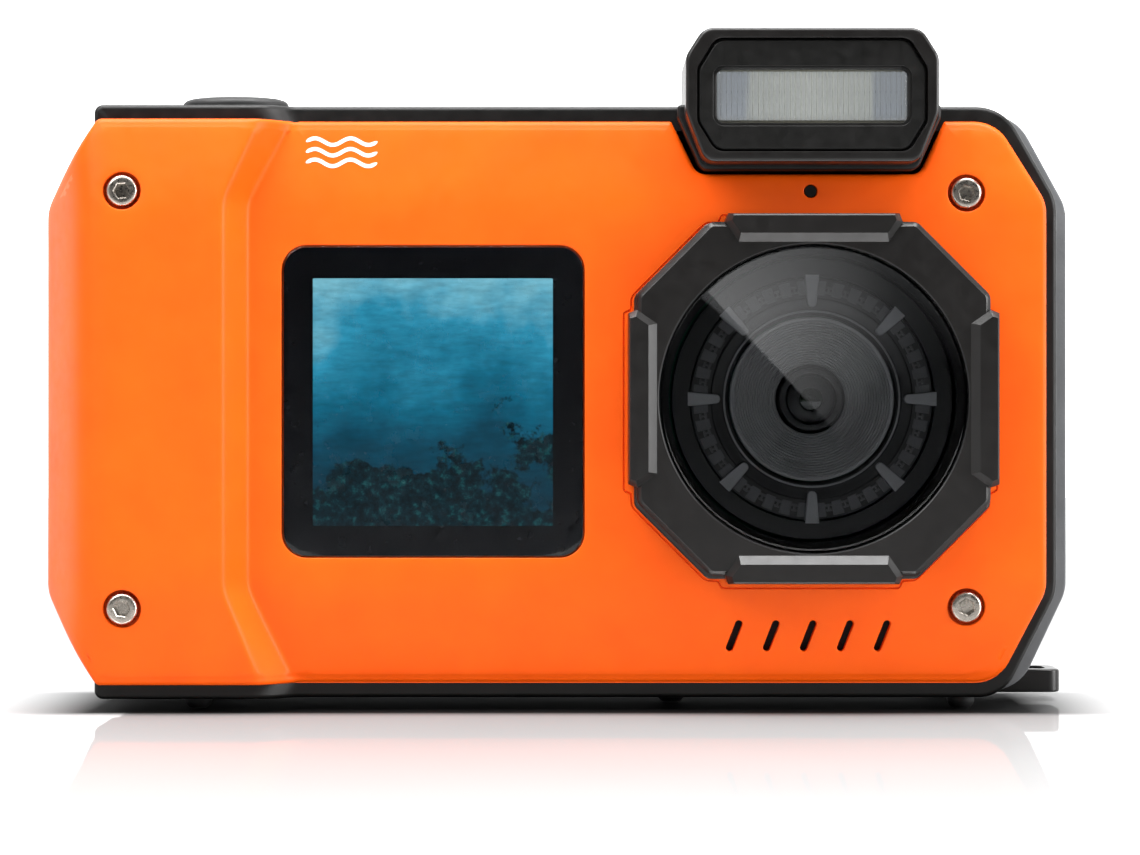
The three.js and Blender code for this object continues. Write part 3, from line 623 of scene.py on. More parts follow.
ORANGE = plastic("orange_plastic", "#fb5a04", "#ff6006", (0.4, 0.48), 0.25, 0.003, Specular_IOR_Level=0.2)
FRAME_BLACK = plastic("frame_black", "#070706", "#0c0b0a", (0.38, 0.5), 0.2, 0.006, Specular_IOR_Level=0.35)
SHELL_GREY = plastic("shell_grey", "#626365", "#6f7072", (0.5, 0.62), 0.28, 0.03)
HOOD_BLACK = plastic("hood_black", "#0f0d0c", "#141211", (0.3, 0.38), 0.3, 0.004)
KEY_RUBBER = plastic("key_rubber", "#181818", "#1f1f20", (0.5, 0.62), 0.25, 0.008)
SEAL_RUBBER = plastic("seal_rubber", "#0f0f10", "#181819", (0.6, 0.75), 0.2, 0.01)
# The lens funnel is black plastic painted mid-grey: the lighter colour is painted light for the dim inside of
# the lens.
LENS_FUNNEL_PAINTED_LIGHT = plastic("lens_black", "#969697", "#a2a2a3", (0.3, 0.38), 0.8, 0.002)
TOOTH_GREY = plastic("tooth_grey", "#545456", "#5e5e60", (0.3, 0.4), 0.5, 0.002)
RIB_GREY = plastic("rib_grey", "#8c8c8e", "#98989a", (0.35, 0.45), 0.5, 0.002)
LENS_DEEP = plastic("lens_deep", "#212122", "#29292a", (0.3, 0.4), 0.8, 0.002)
BORE_BLACK = plastic("bore_black", "#030303", "#060606", (0.3, 0.4), 0.8, 0.002)
SCREEN_INK = plastic("screen_ink", "#14151a", "#181a20", (0.2, 0.28), 2.0, 0.001)
BODY_PLASTIC = plastic("body_plastic", "#101011", "#1a1a1b", (0.45, 0.55), 0.2, 0.01)
PRINT_WHITE = plastic("print_white", "#f1e8e2", "#f8f2ee", (0.45, 0.55), 0.1, 0.002)
LABEL_BLUE = plastic("label_blue", "#2a4a63", "#35586f", (0.4, 0.5), 0.2, 0.003)
BOARD = plastic("board", "#14482e", "#1c5a3a", (0.35, 0.5), 0.4, 0.02)
STEEL = metal("steel", "#b4aca2", "#cfc7bd", (0.22, 0.34))
BRASS = metal("brass", "#a27c38", "#bd9550", (0.25, 0.35))
TIN = metal("tin", "#aaa8a2", "#c6c4be", (0.25, 0.35))
MIRROR = plastic("mirror", "#e6e1d2", "#f4f0e4", (0.15, 0.25), 0.4, 0.004, Metallic=0.35)
FLASH_RIBS_GLOWING = flash_rib_material()
FLASH_CLEAR = clear("flash_clear", 1.5, (0.93, 0.95, 0.97, 1), 0.04)
GLASS = clear("clear_glass", 1.75, (0.93, 0.94, 0.95, 1), 0.0)
SCREEN_GLASS = clear("screen_glass", 1.5, (0.96, 0.97, 0.98, 1), 0.01)
PICTURE = water_picture("water_picture")


def element_material():
    surface = Surface("front_lens")
    surface.colour("#0a140d", "#10200f", 1.5)
    surface.roughness(0.08, 0.12)
    return surface.set(Specular_IOR_Level=0.6)


ELEMENT = element_material()

CARRIED_OVER = {
    "body_seal": SEAL_RUBBER,
    "lens_window_seal": SEAL_RUBBER,
    "lens_holder": BODY_PLASTIC,
    "image_sensor": BOARD,
    "flash_capacitor": BODY_PLASTIC,
    "front_display_seal": SEAL_RUBBER,
    "door_seal": SEAL_RUBBER,
    "hinge_pin": STEEL,
    "battery": LABEL_BLUE,
    "card_socket": TIN,
    "memory_card": BODY_PLASTIC,
    "usb_socket": TIN,
    "main_board": BOARD,
    "key_board": BOARD,
    "speaker": BODY_PLASTIC,
}
for node, material in CARRIED_OVER.items():
    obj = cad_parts[node]
    obj.data.materials.clear()
    obj.data.materials.append(material)
    edges = obj.modifiers.new("edges", "BEVEL")
    edges.width = 0.12 * MM
    edges.segments = 2
    edges.limit_method = "ANGLE"
    edges.angle_limit = math.radians(40)


# ---------------------------------------------------------------- front shell
def soft(value, width):
    """max(value, 0) with a rounded corner of that width."""
    return width * np.logaddexp(0, value / width)


def panel_face(x, z):
    """Depth of the main panel: flat, sloping back towards the top and the bottom."""
    return PANEL_FACE + 0.206 * soft(BEND_LOW - z, 1.1) + 0.202 * soft(z - BEND_HIGH, 1.1)


def grip_line(z):
    """Where the slope beside the grip meets the panel."""
    return GRIP_EDGE + 0.48 * soft(BEND_LOW - z, 0.4) + 0.528 * soft(z - BEND_HIGH, 0.4)


def grip_slope(z):
    return GRIP_SLOPE + 0.1 * soft(BEND_LOW - z, 0.4) + 0.1 * soft(z - BEND_HIGH, 0.4)


def shell_face(x, z):
    x, z = np.asarray(x, float), np.asarray(z, float)
    reach = grip_line(z) - x
    width = grip_slope(z)
    rise = (soft(reach, 0.1) - soft(reach - width, 0.14)) / width
    face = panel_face(x, z) - (PANEL_FACE - GRIP_FACE) * rise
    from_left = x - LEFT
    side = GRIP_FACE + 2.065 * (4.6 - from_left)
    return face + soft(side - face, 1.9)


def edge_step(z):
    """1 along the top and bottom edges of the panel, 0 along its sides."""
    return np.clip((np.abs(z - 33.15) - 28.6) / 0.8, 0, 1)


def shell_border(step, drop):
    def depth(x, z):
        return shell_face(x, z) + drop + step * edge_step(z)

    return depth


BORDER = [(-1.0, 0, 0), (-0.88, 0.1, 0.0), (-0.5, 0.1, 0.01), (-0.3, 0.1, 0.06), (-0.12, 0.1, 0.2)]


def shell_rim(x, z):
    """Back edge of the front shell: deep in the left wall, shallow where the frame lies behind."""
    over = np.clip((x - (FRAME_LEFT - 0.2)) / 0.3, 0, 1)
    ramp = np.clip((x + 31.2) / 2.4, 0, 1)
    shallow = GRIP_RIM - 0.1 + (PANEL_RIM - GRIP_RIM) * ramp
    return -5.0 + (shallow + 5.0) * over


def inner_face(x, z):
    """The inside of the shell, hollowed behind the grip as well."""
    in_grip = np.clip((-37.5 - np.asarray(x)) / 3, 0, 1)
    return panel_face(x, z) + PANEL_WALL + (shell_face(x, z) - panel_face(x, z)) * in_grip


def inner_edge(x, z):
    return np.minimum(inner_face(x, z), shell_rim(x, z) - 0.05)


def lens_collar():
    """The octagon of the hood with its four blocks, as the fine groove round them follows it."""
    half, reach, block_half = 19.05, 19.85, 9.45
    corner = 11.15
    side = [
        (block_half, -reach, 0.3),
        (block_half + 0.35, -half, 0.3),
        (corner, -half, 1.2),
        (half, -corner, 1.2),
        (half, -block_half - 0.35, 0.3),
        (reach, -block_half, 0.3),
    ]
    points = []
    for c, s in ((1, 0), (0, 1), (-1, 0), (0, -1)):
        for x, z, radius in side:
            points.append((LENS_X - 0.05 + x * c - z * s, LENS_Z - 0.28 + x * s + z * c, radius))
    return points


def shell_hole(build, rings):
    """Adds a hole: (loop, depth) pairs from the face to the inner surface. Gives its end rings."""
    made = [build.ring(np.asarray(loop)[::-1], y) for loop, y in rings]
    build.chain(made)
    return made[0], made[-1]


def on_face(drop):
    return lambda x, z: shell_face(x, z) + drop


def lip(outline_at, size):
    """(loop, depth) pairs of a rounded lip round a hole."""
    angles = (0, 0.5, 1.0, math.pi / 2)
    return [(outline_at(size * (1 - math.sin(a))), on_face(size * (1 - math.cos(a)))) for a in angles]


def screw_seat(x, z, face):
    deep = face + 2.2
    rings = lip(lambda d: circle(x, z, 2.0 + d, 40), 0.14)
    back = face + 3.7
    rings += [
        (circle(x, z, 2.0, 40), deep),
        (circle(x, z, 1.45, 40), deep),
        (circle(x, z, 1.45, 40), back),
        (circle(x, z, 3.1, 40), back),
        (circle(x, z, 3.1, 40), inner_face),
    ]
    return rings


def speaker_slot(index):
    lean = math.radians(20.6)
    middle = np.array([26.4 + (index - 2) * 3.95, 8.1])
    upright = Outline(box_corners(0, 0, 0.8, 3.5, 0.38), 5, 0.6)

    def at(offset):
        x, z = upright.at(offset).T
        across = x * math.cos(lean) + z * math.sin(lean)
        upward = z * math.cos(lean) - x * math.sin(lean)
        return np.column_stack([across, upward]) + middle

    return lip(at, 0.12) + [(at(0), inner_face)]


def round_hole(x, z, radius, sides):
    """A plain round hole through the panel, as (loop, depth) pairs."""
    rings = lip(lambda d: circle(x, z, radius + d, sides), 0.1)
    return rings + [(circle(x, z, radius, sides), inner_face)]


def shell_holes(build):
    """Every hole through the panel. Gives rings on the face and rings on the inner surface."""
    ends = [shell_hole(build, screw_seat(*screw)) for screw in SCREWS]
    ends += [shell_hole(build, speaker_slot(i)) for i in range(5)]
    ends.append(shell_hole(build, round_hole(LENS_X, 55.5, 0.72, 24)))
    ends.append(shell_hole(build, round_hole(LENS_X, LENS_Z, 17.3, 96)))
    bed = Outline(box_corners(SCREEN_X, SCREEN_Z, 32.3, 33.3, 2.7), 8, 0.9)
    window = Outline(box_corners(SCREEN_X, SCREEN_Z, 27, 28, 1), 8, 0.76)
    rings = lip(bed.at, 0.12) + [(bed.at(0), -12.8)]
    front, floor = shell_hole(build, rings)
    edge = build.ring(window.at(0)[::-1], -12.8)
    back = build.ring(window.at(0)[::-1], inner_face)
    build.fill([floor, edge])
    build.strip(edge, back)
    ends.append((front, back))
    return [first for first, _ in ends], [last for _, last in ends]


def front_shell():
    build = Build()
    outline = Outline(PANEL_OUTLINE, 7, 0.8)
    rings = [build.ring(outline.at(offset), shell_border(step, drop)) for offset, step, drop in BORDER]
    rings.append(build.ring(outline.at(0), shell_border(0.1, 0.45)))
    rings.append(build.ring(outline.at(0), shell_rim))
    rings.append(build.ring(outline.at(-PANEL_WALL), shell_rim))
    rings.append(build.ring(outline.at(-PANEL_WALL - 0.05), inner_edge))
    build.chain(rings)
    fronts, backs = shell_holes(build)

    collar = Outline(lens_collar(), 3, 0.9)
    groove = [build.ring(collar.at(offset), on_face(drop)) for offset, drop in GROOVE]
    build.chain(groove, back=True)
    lens_ring = fronts[LENS_HOLE]
    outside = [rings[0], *[f for f in fronts if f is not lens_ring], groove[0]]
    coarse, fine = (hex_points(build.flat(outside), pitch) for pitch in (0.75, 0.42))
    spread = np.vstack([coarse[coarse[:, 0] > LEFT + 6.6], fine[fine[:, 0] < LEFT + 6.2]])
    crease = crease_points(build.flat(outside))
    build.fill(outside, np.vstack([off_slope(spread), crease]), shell_face)
    around = [groove[-1], lens_ring]
    build.fill(around, hex_points(build.flat(around), 1.2), shell_face)
    rear = [rings[-1], *backs]
    build.fill(rear, hex_points(build.flat(rear), 2.5), inner_face, back=True)
    make(build, "front_panel", "camera_body", ORANGE, ["front_shell"], sharp=60)


GROOVE = [(0.11, 0), (0.11 * 0.4, 0.3), (-0.11 * 0.4, 0.3), (-0.11, 0)]
LENS_HOLE = 10
SLOPE_COLUMNS = (1.3, 0.8, 0.45, 0.2, 0, -0.2, -0.45, -0.8)


def crease_points(loops):
    """Even rows of points across the slope beside the grip, closer at both of its edges."""
    points = []
    for z in np.arange(3.4, 62.9, 0.5):
        line, width = float(grip_line(z)), float(grip_slope(z))
        points += [(line + shift, z) for shift in SLOPE_COLUMNS]
        points += [(line - width - shift, z) for shift in SLOPE_COLUMNS]
    points = np.array(points)
    points = points[inside_loops(points, loops)]
    return far_from(points, np.vstack(loops), 0.22)


def off_slope(points):
    """The points that are clear of the rows across the slope."""
    x, z = points[:, 0], points[:, 1]
    right, left = grip_line(z) + 1.75, grip_line(z) - grip_slope(z) - 1.75
    return points[(x > right) | (x < left)]


# ---------------------------------------------------------------- frame and rear shell
def frame_front(x, z):
    return GRIP_RIM + (PANEL_RIM - GRIP_RIM) * np.clip((x + 31.2) / 2.4, 0, 1)


def mid_frame():
    build = Build()
    outline = Outline(FRAME_OUTLINE, 8, 1.2)
    front = [(-FRAME_WALL, 0.0), (-0.5, 0.0), (-0.25, 0.07), (-0.08, 0.25), (0, 0.5)]
    rings = [
        build.ring(outline.at(offset), lambda x, z, d=drop: frame_front(x, z) + d) for offset, drop in front
    ]
    for offset, drop in ((0, -0.4), (-0.12, -0.12), (-0.4, 0), (-FRAME_WALL, 0)):
        rings.append(build.ring(outline.at(offset), FRAME_BACK + drop))
    build.chain(rings, closed=True)
    obj = make(build, "frame_ring", "camera_body", FRAME_BLACK, ["mid_frame"])
    tools = []
    for node in ("shutter_button", "power_button", "screen_button"):
        x, y, half, depth = top_button_size(node)
        loop = circle(0, 0, 1, 40) * [half + 0.25, depth + 0.25] + [x, y]
        tools.append(drum(loop, TOP - 6, TOP + 4))
    carve(obj, tools)
    frame_flange()


def frame_flange():
    """The thin wall of the frame that lines the rear cover on the left."""
    flange = Build()
    rear = Outline(REAR_OUTLINE, 8, 1.2)
    base = rear.at(0)
    chosen = np.flatnonzero(base[:, 0] < FRAME_LEFT + 1.5)
    gap = np.flatnonzero(np.diff(chosen) > 1)
    if len(gap):
        chosen = np.roll(chosen, -(gap[0] + 1))
    section = [
        (-FRAME_WALL, FLANGE_FRONT),
        (-0.4, FLANGE_FRONT),
        (-0.2, FLANGE_FRONT + 0.2),
        (-0.2, FRAME_BACK),
        (-FRAME_WALL, FRAME_BACK),
    ]
    rows = [flange.ring(rear.at(offset)[chosen], y) for offset, y in section]
    for first, second in zip(rows, rows[1:] + rows[:1]):
        flange.strip(first, second, closed=False)
    flange.faces.append(tuple(row[0] for row in rows))
    flange.faces.append(tuple(row[-1] for row in reversed(rows)))
    make(flange, "frame_flange", "camera_body", FRAME_BLACK)


def rear_buttons():
    """Outline and body of each key on the back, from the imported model."""
    keys = {}
    for name, corner in (
        ("zoom_tele_button", 1.6),
        ("zoom_wide_button", 1.6),
        ("ok_button", 3.0),
        ("up_button", 1.4),
        ("down_button", 1.4),
        ("left_button", 1.4),
        ("right_button", 1.4),
        ("menu_button", 1.6),
        ("playback_button", 1.6),
    ):
        low, high = node_box(name)
        middle, size = (low + high) / 2, high - low - 1.2
        keys[name] = (middle[0], middle[2], size[0], size[2], corner)
    return keys


def straight_hole(build, outline, front, back, lip_size):
    """A hole through a rear wall: rings from the inside to a rounded lip on the back face."""
    rings = [build.ring(outline.at(0)[::-1], front)]
    for offset, y in reversed(quarter(lip_size)):
        rings.append(build.ring(outline.at(-offset)[::-1], back - y))
    build.chain(rings)
    return rings[0], rings[-1]


def rear_shell():
    build = Build()
    outline = Outline(REAR_OUTLINE, 8, 1.4)
    mouth = Outline(FRAME_OUTLINE, 8, 1.4)
    rings = [build.ring(outline.at(-0.25), REAR_RIM), build.ring(outline.at(-0.07), REAR_RIM + 0.07)]
    rings.append(build.ring(outline.at(0), REAR_RIM + 0.25))
    for k in range(9):
        a = math.pi / 2 * k / 8
        offset = -3.2 * (1 - math.cos(a)) * 0.9
        rings.append(build.ring(outline.at(offset), REAR_FACE - 3.5 + 3.5 * math.sin(a)))
    build.chain(rings)
    throat = [build.ring(mouth.at(-FRAME_WALL), REAR_RIM), build.ring(mouth.at(-FRAME_WALL), LIP_BACK)]
    build.strip(throat[1], throat[0])
    build.fill([rings[0], throat[0]])
    room = [build.ring(outline.at(-REAR_WALL), LIP_BACK)]
    room.append(build.ring(outline.at(-REAR_WALL), REAR_FACE - 5))
    room.append(build.ring(outline.at(-REAR_WALL - 2.4), REAR_FACE - REAR_WALL))
    build.chain(room, back=True)
    build.fill([room[0], throat[1]], back=True)
    inner, outer = [room[-1]], [rings[-1]]
    for x, z, width, height, corner in rear_buttons().values():
        key = Outline(box_corners(x, z, width + 0.5, height + 0.5, corner + 0.25), 5, 1.2)
        low, high = straight_hole(build, key, REAR_FACE - REAR_WALL, REAR_FACE, 0.3)
        inner.append(low)
        outer.append(high)
    bed = Outline(box_corners(MONITOR_X, MONITOR_Z, 68.3, 48.3, 2.65), 6, 1.5)
    window = Outline(box_corners(MONITOR_X, MONITOR_Z, 60, 45, 1), 6, 1.5)
    floor, high = straight_hole(build, bed, 17.3, REAR_FACE, 0.25)
    low, edge = straight_hole(build, window, REAR_FACE - REAR_WALL, 17.3, 0)
    build.fill([floor, edge], back=True)
    inner.append(low)
    outer.append(high)

    build.fill(outer, hex_points(build.flat(outer), 2.5), REAR_FACE, back=True)
    build.fill(inner)
    obj = make(build, "rear_case", "camera_body", SHELL_GREY, ["rear_shell"])
    door_low, door_high = node_box("battery_door")
    lug_low, lug_high = node_box("strap_lug")
    doorway = Build()
    door_bottom = (-60, door_low[1] - 0.3, door_low[2] - 0.3)
    doorway.block(door_bottom, (-50.3, 15.2, door_high[2] + 0.3), 0.3)
    slot_tool = Build()
    slot_tool.block((lug_low[0] - 0.3, lug_low[1] - 0.3, 0), (60, lug_high[1] + 0.3, lug_high[2] + 0.3))
    x, y, _ = centre_of("tripod_insert")
    carve(obj, [doorway, slot_tool, drum(circle(x, y, 5.2, 48), -2, 3.55)])


# ---------------------------------------------------------------- screws
def corner_screw(index, x, z, face):
    build = Build()
    edge = [(1.02, 0.1), (1.3, 0.1), (1.48, 0.15), (1.6, 0.28), (1.65, 0.5), (1.65, 2.0), (1.2, 2.0)]
    rings = [build.ring(circle(x, z, r, 48), face + y) for r, y in edge]
    rings.append(build.ring(circle(x, z, 1.2, 48), 1.4))
    tip = build.points([(x, 1.5, z)])[0]
    build.chain(rings)
    build.fan(tip, rings[-1], back=True)
    turn = 0.2 + index * 0.9
    angles = [turn + k * math.pi / 3 for k in range(6)]
    hexagon = np.array([(math.cos(a), math.sin(a)) for a in angles])
    mouth = build.ring(hexagon * 0.95 + [x, z], face + 0.1)
    inner = build.ring(hexagon * 0.84 + [x, z], face + 0.2)
    deep = build.ring(hexagon * 0.84 + [x, z], face + 1.15)
    build.fill([rings[0], mouth])
    build.strip(inner, mouth)
    build.strip(deep, inner)
    build.cap(deep)
    nodes = [f"corner_screw_{index}"]
    make(build, f"screw_{index}", "camera_body", STEEL, nodes, sharp=32)


# ---------------------------------------------------------------- lens
def hood_octagon(extra=0.0, radius=1.2):
    return octagon(LENS_X, LENS_Z, (18.6 + extra, 18.6 + extra), (7.7, 7.7), radius)


def lens_hood():
    build = Build()
    body = Outline(hood_octagon(), 6, 1.2)
    flange = Outline([(x - 0.04, z - 0.22, r) for x, z, r in hood_octagon(0.2)], 6, 1.2)
    bore = [
        (16.42, HOOD_FACE),
        (16.3, HOOD_FACE + 0.06),
        (16.25, HOOD_FACE + 0.18),
        (16.25, -16.5),
        (15.2, -16.5),
        (15.2, -10.5),
        (17.0, -10.5),
        (17.0, PANEL_FACE - 0.1),
    ]
    rings = [build.ring(circle(LENS_X, LENS_Z, r, LENS_SIDES), y) for r, y in bore]
    build.chain(rings, back=True)
    edge = [(-0.5, 0), (-0.44, 0.03), (-0.06, 0.4), (0, 0.5)]
    outer = [build.ring(body.at(offset), HOOD_FACE + drop) for offset, drop in edge]
    outer.append(build.ring(body.at(0), -17.1))
    for offset, y in ((-0.15, -17.0), (0, -16.85), (0, PANEL_FACE - 0.1)):
        outer.append(build.ring(flange.at(offset), y))
    build.chain(outer)
    build.fill([outer[0], rings[0]])
    build.fill([outer[-1], rings[-1]], back=True)
    for quarter_turn in range(4):
        hood_block(build, quarter_turn)
    nodes = ["lens_hood"]
    make(build, "hood", "camera_body", HOOD_BLACK, nodes, sharp=20, inner=BORE_BLACK)


def shrunk(corners, insets):
    """Moves each side of a convex outline inwards by its own inset; side i runs from corner i."""
    count = len(corners)
    lines = []
    for i, (x, z) in enumerate(corners):
        x1, z1 = corners[(i + 1) % count]
        length = math.hypot(x1 - x, z1 - z)
        normal = (-(z1 - z) / length, (x1 - x) / length)
        lines.append((normal, normal[0] * x + normal[1] * z + insets[i]))
    result = []
    for i in range(count):
        (a, b), c = lines[i - 1]
        (d, e), f = lines[i]
        scale = a * e - b * d
        result.append(((c * e - b * f) / scale, (a * f - c * d) / scale))
    return result


def hood_block(build, quarter_turn):
    """One of the four raised blocks, with wide slopes on its inner side and its ends."""
    base = [(-9.35, 18.55), (-7.9, 16.45), (7.9, 16.45), (9.35, 18.55), (9.0, 19.5), (-9.0, 19.5)]
    c, s = [(1, 0), (0, -1), (-1, 0), (0, 1)][quarter_turn]

    def placed(corners, radius):
        points = [(LENS_X + px * c - pz * s, LENS_Z + px * s + pz * c, radius) for px, pz in corners]
        return Outline(points, 3, 40).at(0)

    levels = [
        (-14.4, (0, 0, 0, 0, 0, 0), 0.12),
        (-19.15, (0, 0, 0, 0, 0, 0), 0.12),
        (-19.25, (0.06, 0.08, 0.06, 0.06, 0.02, 0.06), 0.12),
        (-19.85, (0.58, 0.78, 0.58, 0.5, 0.1, 0.5), 0.12),
        (HOOD_FRONT, (0.7, 0.95, 0.7, 0.62, 0.26, 0.62), 0.1),
    ]
    rings = [build.ring(placed(shrunk(base, insets), radius), y) for y, insets, radius in levels]
    build.chain(rings, back=True)
    build.cap(rings[-1])
    build.cap(rings[0], back=True)


def microphone():
    """The capsule behind the sound hole, with a nozzle standing in the hole; both are near black as painted
    shade, so the hole looks deep.
    """
    build = Build()
    x, _, z = centre_of("microphone")
    low, high = node_box("microphone")
    nozzle = [(0, -13.45), (0.6, -13.45), (0.66, -13.4), (0.66, low[1])]
    build.turned([*nozzle, (1.95, low[1]), (1.95, high[1]), (0, high[1])], x, z, 40)
    make(build, "mic_capsule_painted_shade", "camera_body", BORE_BLACK, ["microphone"])


def lens_pieces():
    window = Build()
    front = [(0, -19.0), (8, -19.0), (15.8, -19.0), (16.0, -18.95), (16.1, -18.8)]
    rear = [(16.1, -17.15), (15.9, -17.0), (8, -17.0), (0, -17.0)]
    window.turned(front + rear, LENS_X, LENS_Z, LENS_SIDES)
    make(window, "lens_glass", "camera_body", GLASS, ["lens_window"])

    trim = Build()
    profile = [
        (8.95, -15.3),
        (9.15, -15.42),
        (9.4, -15.42),
        (9.55, -15.3),
        (10.1, -15.3),
        (10.3, -15.36),
        (10.6, -15.36),
        (10.75, -15.22),
        (12.75, -15.22),
        (12.85, -15.1),
        (12.85, -14.2),
        (8.85, -14.2),
        (8.85, -15.2),
    ]
    trim.turned(profile, LENS_X, LENS_Z, LENS_SIDES)
    make(trim, "lens_trim", "camera_body", LENS_DEEP, ["lens_trim_ring"], sharp=30)

    rim = Build()
    profile = [(12.9, -16.1), (13.0, -16.2), (14.8, -16.2), (14.9, -16.1), (14.9, -14.2), (12.9, -14.2)]
    rim.turned(profile, LENS_X, LENS_Z, LENS_SIDES)
    make(rim, "lens_rim", "camera_body", BORE_BLACK, sharp=30)

    ribs = Build()
    for k in range(8):
        add_rib(ribs, k * math.pi / 4)
    # The thin ridge ring takes the lighter rib grey: a painted highlight for the bright line along it.
    ridge = [(9.2, -15.45), (9.3, -15.52), (9.42, -15.45), (9.42, -15.3), (9.2, -15.3)]
    ribs.turned(ridge, LENS_X, LENS_Z, 96)
    make(ribs, "lens_ribs", "camera_body", RIB_GREY)

    teeth = Build()
    add_teeth(teeth)
    make(teeth, "lens_teeth", "camera_body", TOOTH_GREY)

    # Painted light: the funnel's material is a much lighter grey than its black plastic.
    cone = Build()
    cone.turned(cone_profile(), LENS_X, LENS_Z, LENS_SIDES)
    make(cone, "lens_funnel", "camera_body", LENS_FUNNEL_PAINTED_LIGHT, ["lens_cone"], sharp=25)

    barrel = Build()
    profile = [
        (2.62, -14.1),
        (2.75, -14.36),
        (3.0, -14.4),
        (3.3, -14.36),
        (3.4, -14.2),
        (3.4, -5.2),
        (2.6, -5.2),
        (2.6, -13.2),
    ]
    barrel.turned(profile, LENS_X, LENS_Z, 96)
    make(barrel, "lens_tube", "camera_body", LENS_DEEP, ["lens_barrel"])

    element = Build()
    dome = [(0, -14.28)]
    for k in range(1, 11):
        r = 2.5 * k / 10
        dome.append((r, -14.28 + 1.3 * (1 - math.sqrt(max(0, 1 - (r / 2.62) ** 2)))))
    element.turned(dome + [(2.5, -11.4), (0, -11.4)], LENS_X, LENS_Z, 64)
    make(element, "lens_element", "camera_body", ELEMENT, ["front_element"])

    stop = Build()
    profile = [(1.25, -14.33), (1.4, -14.36), (2.3, -14.22), (2.5, -14.1), (2.5, -13.95), (1.25, -14.31)]
    stop.turned(profile, LENS_X, LENS_Z, 64)
    make(stop, "lens_stop", "camera_body", LENS_DEEP)


def cone_profile():
    """A funnel with fine turned steps, from its throat out to its rim."""
    steps, rim, throat, front, back = 17, 8.35, 3.75, -15.55, -12.7
    profile = [(throat - 0.05, back + 0.1)]
    for k in range(steps):
        share, after = k / steps, (k + 1) / steps
        radius, following = throat + (rim - throat) * share, throat + (rim - throat) * after
        y, further = back + (front - back) * share, back + (front - back) * after
        profile += [(radius, y - 0.03), (following - 0.13, y - 0.17)]
        profile += [(following - 0.02, y - 0.04), (following, further)]
    profile += [(8.55, -15.6), (8.7, -15.5), (8.7, -12.6), (throat - 0.05, -12.6)]
    return profile


def polar(angle, radius, across):
    """A point at that radius, moved sideways, in the plane of the lens."""
    c, s = math.cos(angle), math.sin(angle)
    return LENS_X + radius * s + across * c, LENS_Z + radius * c - across * s


def raised(build, outline, front, back, edge):
    """A small raised pad of an outline with a rounded front edge."""
    shape = Outline(outline, 3, 50)
    rings = [build.ring(shape.at(offset), front + y) for offset, y in quarter(edge, 2)]
    rings.append(build.ring(shape.at(0), back))
    build.chain(rings)
    build.cap(rings[0])
    build.cap(rings[-1], back=True)


def add_rib(build, angle):
    corners = [(-0.45, 9.75, 0.42), (0.45, 9.75, 0.42), (0.78, 13.2, 0.06), (-0.78, 13.2, 0.06)]
    placed = [(*polar(angle, radius, across), corner) for across, radius, corner in corners]
    raised(build, placed, -16.25, -15.0, 0.12)


def add_teeth(build):
    """Small plates and two-pronged marks between the ribs."""
    for gap in range(8):
        for k in range(5):
            angle = math.radians(gap * 45 + 4.5 + k * 9)
            corners = [(-0.52, 11.05, 0.08), (0.52, 11.05, 0.08), (0.6, 12.55, 0.08), (-0.6, 12.55, 0.08)]
            raised(build, [(*polar(angle, r, a), c) for a, r, c in corners], -15.34, -15.1, 0.04)
        for k in range(4):
            angle = math.radians(gap * 45 + 9 + k * 9)
            for low, high, half in ((11.25, 11.5, 0.36), (11.8, 12.05, 0.3), (11.4, 12.0, 0.1)):
                corners = [(-half, low, 0.05), (half, low, 0.05), (half, high, 0.05), (-half, high, 0.05)]
                raised(build, [(*polar(angle, r, a), c) for a, r, c in corners], -15.42, -15.1, 0.04)


# ---------------------------------------------------------------- flash
def flash_outline():
    return [
        (FLASH_X - 11.3, 58.2, 1.6),
        (FLASH_X + 11.3, 58.2, 1.6),
        (FLASH_X + 13.3, 63.4, 2.5),
        (FLASH_X + 13.3, 69.3, 2.0),
        (FLASH_X + 11.4, 72.3, 2.0),
        (FLASH_X - 11.4, 72.3, 2.0),
        (FLASH_X - 13.3, 69.3, 2.0),
        (FLASH_X - 13.3, 63.4, 2.5),
    ]


